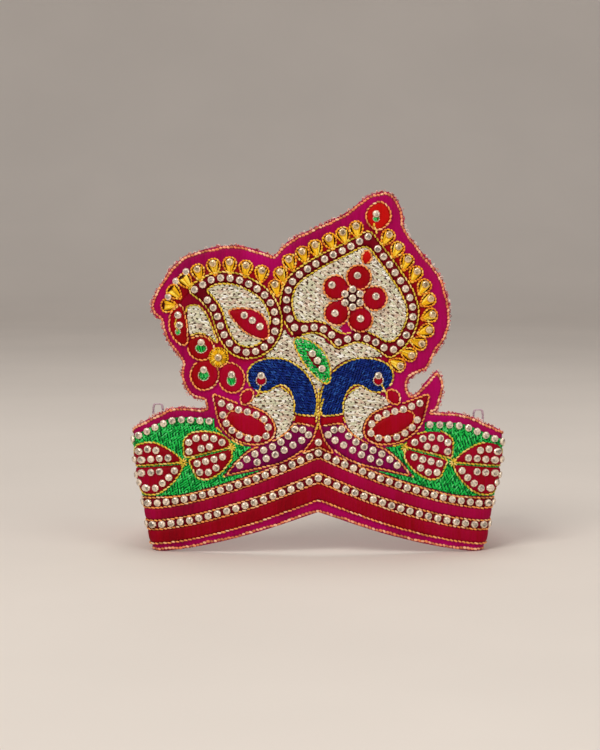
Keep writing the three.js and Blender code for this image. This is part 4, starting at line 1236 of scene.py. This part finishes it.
class CROWN_OT_red_patches(bpy.types.Operator):
    """Red satin appliqué: petals, leaves, flower, bud, beaks, eyes and collars"""

    bl_idname = "crown.red_patches"
    bl_label = "Red patches"

    def execute(self, context):
        _, colours = settings()
        sewing = Sewing()
        leaf = outlines("green_leaf")[0]
        leaf_heart = leaf.mean(0) + LEAF_HEART * (leaf - leaf.mean(0))
        flower_heart = disc(FLOWER_PETALS.mean(0), FLOWER_HEART)
        flower_gap = oval(FLOWER_GAP, *FLOWER_GAP_HALVES)
        patch(sewing, outlines("flower"), RAISED, rise=0.86, round_off=0.4, step=1.2, finish=PETAL)
        # The flower's heart: maroon darkened to painted shade between its middle stones.
        patch(sewing, [flower_heart], low=1.4, rise=0.2, round_off=0.4, step=1.2, finish=HEART_SHADE)
        patch(sewing, [flower_gap], GROUND, rise=0.65, round_off=0.4, step=1.0, finish=MAGENTA)
        patch(sewing, [leaf_heart], low=0.7, rise=0.8, round_off=0.4, step=0.8, finish=MAROON)
        for name in RED_GROUND + RED_RAISED:
            low, top = (GROUND, GROUND_TOP) if on_panel(name) else (RAISED, RAISED_TOP)
            top = EYE_TOP if name.startswith("eye") else top
            finish = PETAL if name.startswith(BAND_PETALS) else BRIGHT if name in BRIGHT_RED else RED
            for loop in sewn(name):
                patch(sewing, [loop], low, top - low, round_off=0.55, step=1.0, finish=finish)
        # Second colours here are the painted highlights of the satins' folds.
        finishes = [
            satin("red_satin", colours.red, mixed(colours.red, colours.magenta, 0.25)),
            satin("maroon_patch", colours.maroon),
            satin("magenta_patch", colours.magenta),
            satin("petal_satin", colours.crimson, mixed(colours.crimson, colours.magenta, 0.4)),
            satin("bright_red_satin", mixed(colours.red, tint(220, 20, 4), 0.5)),
            # Maroon at three tenths: painted shade between the flower's middle stones.
            satin("flower_heart", shaded(colours.maroon, 0.3)),
        ]
        sewing.piece("red_patches", finishes, "red_satin", RED_GROUND + RED_RAISED)
        return {"FINISHED"}


class CROWN_OT_boats(bpy.types.Operator):
    """Purple boat-shaped leaves below the birds"""

    bl_idname = "crown.boats"
    bl_label = "Boat leaves"

    def execute(self, context):
        _, colours = settings()
        sewing = Sewing()
        for name in BOATS:
            patch(sewing, outlines(name), GROUND, GROUND_TOP - GROUND, round_off=0.55, step=1.2)
        # The magenta-leaning second colour is the painted highlight of the purple satin's folds.
        purple = satin("purple_satin", colours.purple, mixed(colours.purple, colours.magenta, 0.5))
        sewing.piece("boat_leaves", [purple], "purple_satin", BOATS)
        return {"FINISHED"}


GOLD, OPENING_SHADOW, ORANGE, BED = range(4)
STRAND_TAIL = 4.6  # from a drop's stone back to where its middle strand starts
STRAND_HEAD = 1.0  # and to where that strand ends
STRAND_BARE = 1.6  # how much further it runs where the drop's stone lies beside it
STRAND_INSET = 0.9  # from a drop's side to the head of its outer strands
CENTRE_SPOKES = 26


class CROWN_OT_drops(bpy.types.Operator):
    """Gold drops along the crest on crimson beds: a dark opening painted as shadow, strands fanned from the
    tail, and a rim
    """

    bl_idname = "crown.drops"
    bl_label = "Gold drops"

    def execute(self, context):
        sizes, colours = settings()
        sewing = Sewing()
        rows = [drops_of(row) for row in DROP_LEANS]
        for stone, out in rows[: len(DROP_ROWS)]:
            near, far = (stone - reach * out for reach in DROP_BED)
            bed = spaced(closed_path(turned_left(np.vstack([near, far[::-1]]))), 0.8)[:-1]
            patch(sewing, [bed], low=0.02, rise=0.22, round_off=0.3, step=1.6, finish=BED)
        bare = np.zeros(sum(len(stone) for stone, _ in rows))
        bare[len(rows[0][0]) - len(LOOSE_STONES) : len(rows[0][0])] = STRAND_BARE
        stone, out = (np.vstack(part) for part in zip(*rows))
        width = size(sizes, "drop_width")
        shapes = teardrops(stone, out, width)
        for shape in shapes:
            # Painted shadow: a dark patch inside each drop, left bare near its stone.
            patch(sewing, [shape], low=0.1, rise=0.4, round_off=0.4, step=1.2, finish=OPENING_SHADOW)
        across = right_of(out)
        for fan in np.linspace(-1, 1, DROP_STRANDS):
            tail = stone - out * (STRAND_TAIL - 0.5 * abs(fan)) + across * 0.4 * fan
            back = STRAND_HEAD - 1.9 * fan**2 - bare * (1 - fan**2)
            head = stone - out * back[:, None] + across * (0.5 * width - STRAND_INSET) * fan
            strokes(sewing, tail, head, width=0.84, rise=0.6, base=GROUND, finish=GOLD)
        middle = solid_stones("gold_centre")[0]
        centre = disc(middle, GOLD_CENTRE_RADIUS)
        # The gold centre's dark ground under its spokes: the same painted shade.
        patch(sewing, [centre], low=0.6, rise=0.6, round_off=0.4, step=1.0, finish=OPENING_SHADOW)
        spoke = round_about(CENTRE_SPOKES)
        rim = middle + (GOLD_CENTRE_RADIUS - 0.2) * spoke
        strokes(sewing, middle + 1.2 * spoke, rim, width=0.7, rise=0.5, base=0.95, finish=GOLD)
        for shape, finish in [(shape, ORANGE) for shape in shapes] + [(centre, GOLD)]:
            couched(sewing, closed_path(shape), pitch=1.3, width=0.9, base=GROUND + 0.1, finish=finish)
        gold, orange = colours.gold, tint(250, 150, 40)
        golds = [*shades_of(gold, 0.5, 0.95, 1.0), tint(255, 226, 90)]
        oranges = [shaded(orange, 0.65), orange, mixed(orange, gold, 0.7), tint(255, 214, 110)]
        finishes = [
            thread("gold_thread", golds, 0.2, 0.34),
            # Near-black red of the painted shadow in the drops and gold centre.
            satin("drop_opening_shadow", tint(72, 4, 6)),
            thread("drop_zari", oranges, 0.2, 0.36),
            satin("drop_bed", colours.crimson),
        ]
        sewing.piece("gold_drops", finishes, "gold_thread", list(DROP_LEANS) + ["gold_centre"])
        return {"FINISHED"}


WARM, PALE, WHITE = range(3)
OUTLINE_OUT = 0.22  # how far outlines lie outside their motifs
ROW_OUTLINE_OUT = -0.1
OUTLINE_LOW = GROUND + 0.25
OUTLINE_HIGH = 0.8
FLOWER_OUTLINE = 1.2
KNOT_SPOKES = 9
KNOT_REACHES = (0.2, 1.9)  # from a knot's middle to the ends of its spokes


class CROWN_OT_zari(bpy.types.Operator):
    """Metal-thread outlines: a couched cord along each motif, laid once where two motifs meet"""

    bl_idname = "crown.zari"
    bl_label = "Zari outlines"

    def execute(self, context):
        sizes, colours = settings()
        sewing = Sewing()
        pitch, width = size(sizes, "zari_pitch"), size(sizes, "zari_width")
        petals = [name for name in RED_RAISED if name.startswith(BAND_PETALS)]
        warm = [name for name in RED_RAISED if name not in petals and not name.startswith("eye")]
        warm += [name for name in RED_GROUND if not name.startswith("collar")]
        warm += WINGS + BOATS + STRIPES + STONE_ROWS
        pale = petals + ["right_paisley_field", "left_paisley_field", "curl_field", "green_leaf"]
        pale += [*BLUE, *RINGS, *both("body", "green_field")]
        laid = np.vstack([outlines(name)[0] for name in TOP_ROWS])
        for name in warm + pale:
            base = FLOWER_OUTLINE if name == "flower" else OUTLINE_LOW if on_panel(name) else OUTLINE_HIGH
            out = ROW_OUTLINE_OUT if name in STONE_ROWS else OUTLINE_OUT
            for loop in sewn(name):
                path = spaced(closed_path(moved_out(loop, out)), 0.6)[:-1]
                for run in free_runs(path, laid):
                    couched(sewing, run, pitch, width, base, PALE if name in pale else WARM)
                laid = np.vstack([laid, path])
        for line in SHORT_LINES:
            couched(sewing, np.array(line), 1.3, width, GROUND_TOP, PALE)
        for loop in sewn("eye_left") + sewn("eye_right"):
            couched(sewing, closed_path(loop), pitch=0.95, width=0.5, base=0.75, finish=WHITE)
        for name in GREEN_TOUCHES:
            couched(sewing, closed_path(green_touch(name)), pitch=1.0, width=0.42, base=0.72, finish=WHITE)
        spoke = round_about(KNOT_SPOKES)
        for middle in PETAL_KNOTS:
            start, end = (middle + reach * spoke for reach in KNOT_REACHES)
            strokes(sewing, start, end, width=0.6, rise=0.5, base=0.8, finish=PALE)
        warm, pale = colours.warm_zari, colours.pale_zari
        warms = [*shades_of(warm, 0.5, 0.92, 1.05), mixed(warm, tint(255, 236, 190), 0.6)]
        pales = [shaded(pale, 0.5), mixed(pale, tint(170, 190, 60), 0.4), shaded(pale, 1.0)]
        pales.append(mixed(pale, tint(255, 240, 170), 0.6))
        finishes = [
            thread("warm_zari", warms, 0.2, 0.38),
            thread("pale_zari", pales, 0.2, 0.38),
            thread("white_zari", [tint(180, 150, 120), tint(236, 222, 196)], 0.1, 0.4),
        ]
        sewing.piece("zari_outlines", finishes, "gold_thread")
        return {"FINISHED"}


CREST_LEVEL = 46.0  # loose threads stand out above this level
EDGE_INSET = 0.55
EDGE_LEVEL = (-np.inf, 0.85)  # lowest place of the edging's middle
FRAY_POINTS = 7
FRAY_SWAY = 0.8
# Threads that stand out of the edge, looped and frayed: how many, least and most reach, thickness, finish.
FRAYS = [(300, (0.5, 1.5), 1.5, 1), (420, (0.3, 1.1), 1.6, 2)]


class CROWN_OT_edging(bpy.types.Operator):
    """Zari edging round the whole panel, with frayed and looped threads that stand out along the crest"""

    bl_idname = "crown.edging"
    bl_label = "Edging"

    def execute(self, context):
        sizes, colours = settings()
        sewing = Sewing()
        loop = eased(solid_outlines("crown_panel", 0.0)[0])
        run = np.arange(len(loop))[:, None]
        wander = 0.2 * np.sin(run * 0.61 + 2 * np.sin(run * 0.23)) + 0.16 * np.sin(run * 0.17)
        path = np.maximum(moved_out(loop, wander - EDGE_INSET), EDGE_LEVEL)
        couched(sewing, closed_path(path), pitch=1.5, width=1.05, base=-0.25)
        crest = loop[loop[:, 1] > CREST_LEVEL]
        t = np.linspace(0, 1, FRAY_POINTS)[None, :, None]
        arch = t * (1 - t)
        for count, reaches, thickness, finish in FRAYS:
            pick = random.integers(0, len(crest) - 4, count)
            foot = crest[pick]
            way = crest[np.minimum(pick + random.integers(1, 4, count), len(crest) - 1)] - foot
            reach = random.uniform(*reaches, (count, 1, 1))
            sway = random.uniform(-FRAY_SWAY, FRAY_SWAY, (count, 1, 1))
            out = right_of(unit(way))[:, None] * (4 * reach * arch - 0.2)
            flat = foot[:, None] + way[:, None] * (t + sway * arch) + out
            height = -0.5 + random.uniform(-1.0, 0.6, (count, 1)) * np.sin(math.pi * t[..., 0])
            tone = random.random((count, 1))
            tubes(sewing, on_cloth(flat, height), thickness * sizes.fuzz_radius, 4, tone, finish)
        warm = mixed(colours.warm_zari, tint(255, 120, 110), 0.4)
        warms = [*shades_of(warm, 0.5, 0.9), mixed(warm, tint(255, 232, 190), 0.5)]
        finishes = [
            thread("edge_zari", warms, 0.15, 0.4),
            thread("loose_thread", [tint(214, 130, 110), tint(252, 224, 208)], 0.1, 0.4),
            thread("frayed_satin", [shaded(colours.red, 0.7), tint(226, 60, 90)], 0.0, 0.5),
        ]
        sewing.piece("edging", finishes, "gold_thread")
        return {"FINISHED"}


CLEAR, GOLD_REFLECTING = range(2)


class CROWN_OT_stones(bpy.types.Operator):
    """Rhinestones of every row, ring, petal and drop, with a painted gold reflection where they are set in
    gold thread
    """

    bl_idname = "crown.stones"
    bl_label = "Rhinestones"

    def execute(self, context):
        sizes, colours = settings()
        sewing = Sewing()
        low, high = GROUND_TOP - STONE_SUNK, RAISED_TOP - STONE_SUNK
        for name in STONE_ROWS + TOP_ROWS + RINGS + WINGS + BOATS + RED_RAISED + SET_ALONE:
            points, _ = node_triangles(name)
            top = flattened(points)[1].max()
            middles = solid_stones(name)
            if name == "flower":
                heart = np.linalg.norm(middles - FLOWER_PETALS.mean(0), axis=1) < FLOWER_HEART + 0.6
                middles = np.vstack([middles[heart], FLOWER_STONES])
            if abs(top - LOW_TABLES) < TABLE_SLACK or name.startswith("eye"):
                stones(sewing, middles, sizes, low, CLEAR)
            elif abs(top - HIGH_TABLES) < TABLE_SLACK:
                stones(sewing, middles, sizes, high, GOLD_REFLECTING if name == "gold_centre" else CLEAR)
        for row in DROP_LEANS:
            middles = drops_of(row)[0]
            middles = middles[: -len(LOOSE_STONES)] if row == "left_drop_row" else middles
            stones(sewing, middles, sizes, low, GOLD_REFLECTING)
        stones(sewing, LOOSE_STONES, sizes, 0.0, CLEAR)
        # Painted reflection of the gold thread below: the stone colour moved towards gold, and darkened a
        # little.
        gold_reflection = shaded(mixed(colours.stone, colours.gold, 0.4), 0.9)
        finishes = [rhinestone("rhinestone", colours.stone), rhinestone("stone_gold_reflection", gold_reflection)]
        sewing.piece("rhinestones", finishes, "rhinestone")
        return {"FINISHED"}


TIE_POINTS = 61
TIE_TURNS = 9
TIE_SQUARENESS = 0.35  # power of the cosine and sine: the lower, the squarer the arch
TIE_SHARE = 0.84  # share of the solid's height that the arch has
TIE_TONES = np.array([[0.4], [0.7]])


class CROWN_OT_ties(bpy.types.Operator):
    """Two thin tie loops behind the band's top edge: an arch of two threads twisted round each other"""

    bl_idname = "crown.ties"
    bl_label = "Tie loops"

    def execute(self, context):
        sizes, colours = settings()
        sewing = Sewing()
        radius = sizes.tie_radius
        t = np.linspace(0, 1, TIE_POINTS)
        turn = math.pi * (1 - t)
        shape = np.sign(np.cos(turn)) * np.abs(np.cos(turn)) ** TIE_SQUARENESS
        twist = 2 * math.pi * TIE_TURNS * t
        for name in TIES:
            low, high = (np.array(corner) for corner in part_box(name))
            middle, half = (low + high) / 2, (high - low) / 2 - radius * 1.2
            rise = TIE_SHARE * (high[2] - low[2]) - 2 * radius
            x = middle[0] + half[0] * shape
            y = middle[1] + half[1] * shape * np.sign(middle[0])
            arch = np.stack([x, y, low[2] + radius + rise * np.sin(turn) ** TIE_SQUARENESS], -1)
            plies = []
            for phase in (0, math.pi):
                wind = np.stack([np.cos(twist + phase), np.sin(twist + phase), 0 * t], -1)
                plies.append(arch + 0.5 * radius * wind)
            tubes(sewing, np.stack(plies), 0.55 * radius, 6, TIE_TONES)
        tie = thread("tie_thread", shades_of(colours.tie, 0.7, 1.1))
        sewing.piece("tie_loops", [tie], "tie_thread", TIES)
        return {"FINISHED"}


# The stage, in metres: a floor that bends up into a wall at shares of its length, lights and the view.
FLOOR_REACH = 12.0
FLOOR_COLUMNS = 13
FLOOR_ROWS = 40
BEND_SHARES = (0.45, 0.7)
BEND_START = 1.6
BEND_RADIUS = 0.8
WALL_RISE = 2.2
SKY = (0.9, 0.92, 1.0, 1.0)
SKY_STRENGTH = 0.35
LIGHTS = {  # place, width, power
    "key": ((-0.7, -1.1, 1.2), 0.7, 14),
    "fill": ((1.0, -1.0, 0.6), 0.9, 6),
    "top": ((0.0, 0.3, 1.4), 0.8, 6),
}
AIM = Vector((-0.0072, -0.034, 0.071))
VIEW_DISTANCE = 0.85
VIEW_LIFT = math.radians(4.5)
VIEW_HEIGHT = 0.2977  # what the picture takes in at that distance
SENSOR = 36.0


def turned_to_crown(thing, place):
    """Puts a light or camera at a place in the scene, facing the crown."""
    thing.location = place
    thing.rotation_euler = (AIM - Vector(place)).to_track_quat("-Z", "Y").to_euler()
    bpy.context.scene.collection.objects.link(thing)


class CROWN_OT_stage(bpy.types.Operator):
    """Pale floor that sweeps up behind the crown, soft lights and the camera"""

    bl_idname = "crown.stage"
    bl_label = "Stage"

    def execute(self, context):
        _, colours = settings()
        scene = bpy.context.scene
        across = np.linspace(-FLOOR_REACH, FLOOR_REACH, FLOOR_COLUMNS)
        x, t = np.meshgrid(across, np.linspace(0, 1, FLOOR_ROWS))
        bend_from, bend_to = BEND_SHARES
        bend = np.clip((t - bend_from) / (bend_to - bend_from), 0, 1) * math.pi / 2
        y = np.interp(t, [0, bend_from], [-FLOOR_REACH, BEND_START]) + BEND_RADIUS * np.sin(bend)
        z = BEND_RADIUS * (1 - np.cos(bend)) + np.interp(t, [bend_to, 1], [0, WALL_RISE])
        first = (np.arange(FLOOR_COLUMNS - 1) + FLOOR_COLUMNS * np.arange(FLOOR_ROWS - 1)[:, None]).ravel()
        faces = np.stack([first, first + 1, first + FLOOR_COLUMNS + 1, first + FLOOR_COLUMNS], -1)
        mesh = bpy.data.meshes.new("floor")
        mesh.from_pydata(np.stack([x, y, z], -1).reshape(-1, 3).tolist(), [], faces.tolist())
        mesh.polygons.foreach_set("use_smooth", np.ones(len(mesh.polygons), bool))
        mesh.materials.append(plain_floor("pale_floor", colours.floor))
        floor = bpy.data.objects.new("floor", mesh)
        scene.collection.objects.link(floor)
        world = bpy.data.worlds.new("studio")
        world.use_nodes = True
        given(world.node_tree.nodes["Background"], Color=SKY, Strength=SKY_STRENGTH)
        scene.world = world
        scene.view_settings.view_transform = "Standard"
        for name, (place, width, power) in LIGHTS.items():
            light = bpy.data.lights.new(name, "AREA")
            light.size, light.energy = width, power
            turned_to_crown(bpy.data.objects.new(name, light), place)
        camera = bpy.data.objects.new("camera", bpy.data.cameras.new("camera"))
        camera.data.lens = SENSOR * VIEW_DISTANCE / VIEW_HEIGHT
        camera.data.clip_start = 0.01
        turned_to_crown(camera, AIM + VIEW_DISTANCE * Vector((0, -math.cos(VIEW_LIFT), math.sin(VIEW_LIFT))))
        scene.camera = camera
        return {"FINISHED"}


OPERATORS = [
    CROWN_OT_panel,
    CROWN_OT_stripes,
    CROWN_OT_stone_grounds,
    CROWN_OT_cream_fields,
    CROWN_OT_green_fields,
    CROWN_OT_blue_necks,
    CROWN_OT_red_patches,
    CROWN_OT_boats,
    CROWN_OT_drops,
    CROWN_OT_zari,
    CROWN_OT_edging,
    CROWN_OT_stones,
    CROWN_OT_ties,
    CROWN_OT_stage,
]


class CROWN_PT_sewing(bpy.types.Panel):
    """Lists the crown's pieces"""

    bl_label = "Crown"
    bl_idname = "CROWN_PT_sewing"
    bl_space_type = "VIEW_3D"
    bl_region_type = "UI"
    bl_category = "Crown"

    def draw(self, context):
        for operator in OPERATORS:
            self.layout.operator(operator.bl_idname)


CLASSES = [CrownSizes, CrownColours, *OPERATORS, CROWN_PT_sewing]


def register():
    for cls in CLASSES:
        bpy.utils.register_class(cls)
    bpy.types.Scene.crown_sizes = bpy.props.PointerProperty(type=CrownSizes)
    bpy.types.Scene.crown_colours = bpy.props.PointerProperty(type=CrownColours)


def unregister():
    del bpy.types.Scene.crown_sizes, bpy.types.Scene.crown_colours
    for cls in reversed(CLASSES):
        bpy.utils.unregister_class(cls)


def main():
    register()
    for operator in OPERATORS:
        getattr(bpy.ops.crown, operator.bl_idname.split(".")[1])()


if __name__ == "__main__":
    main()
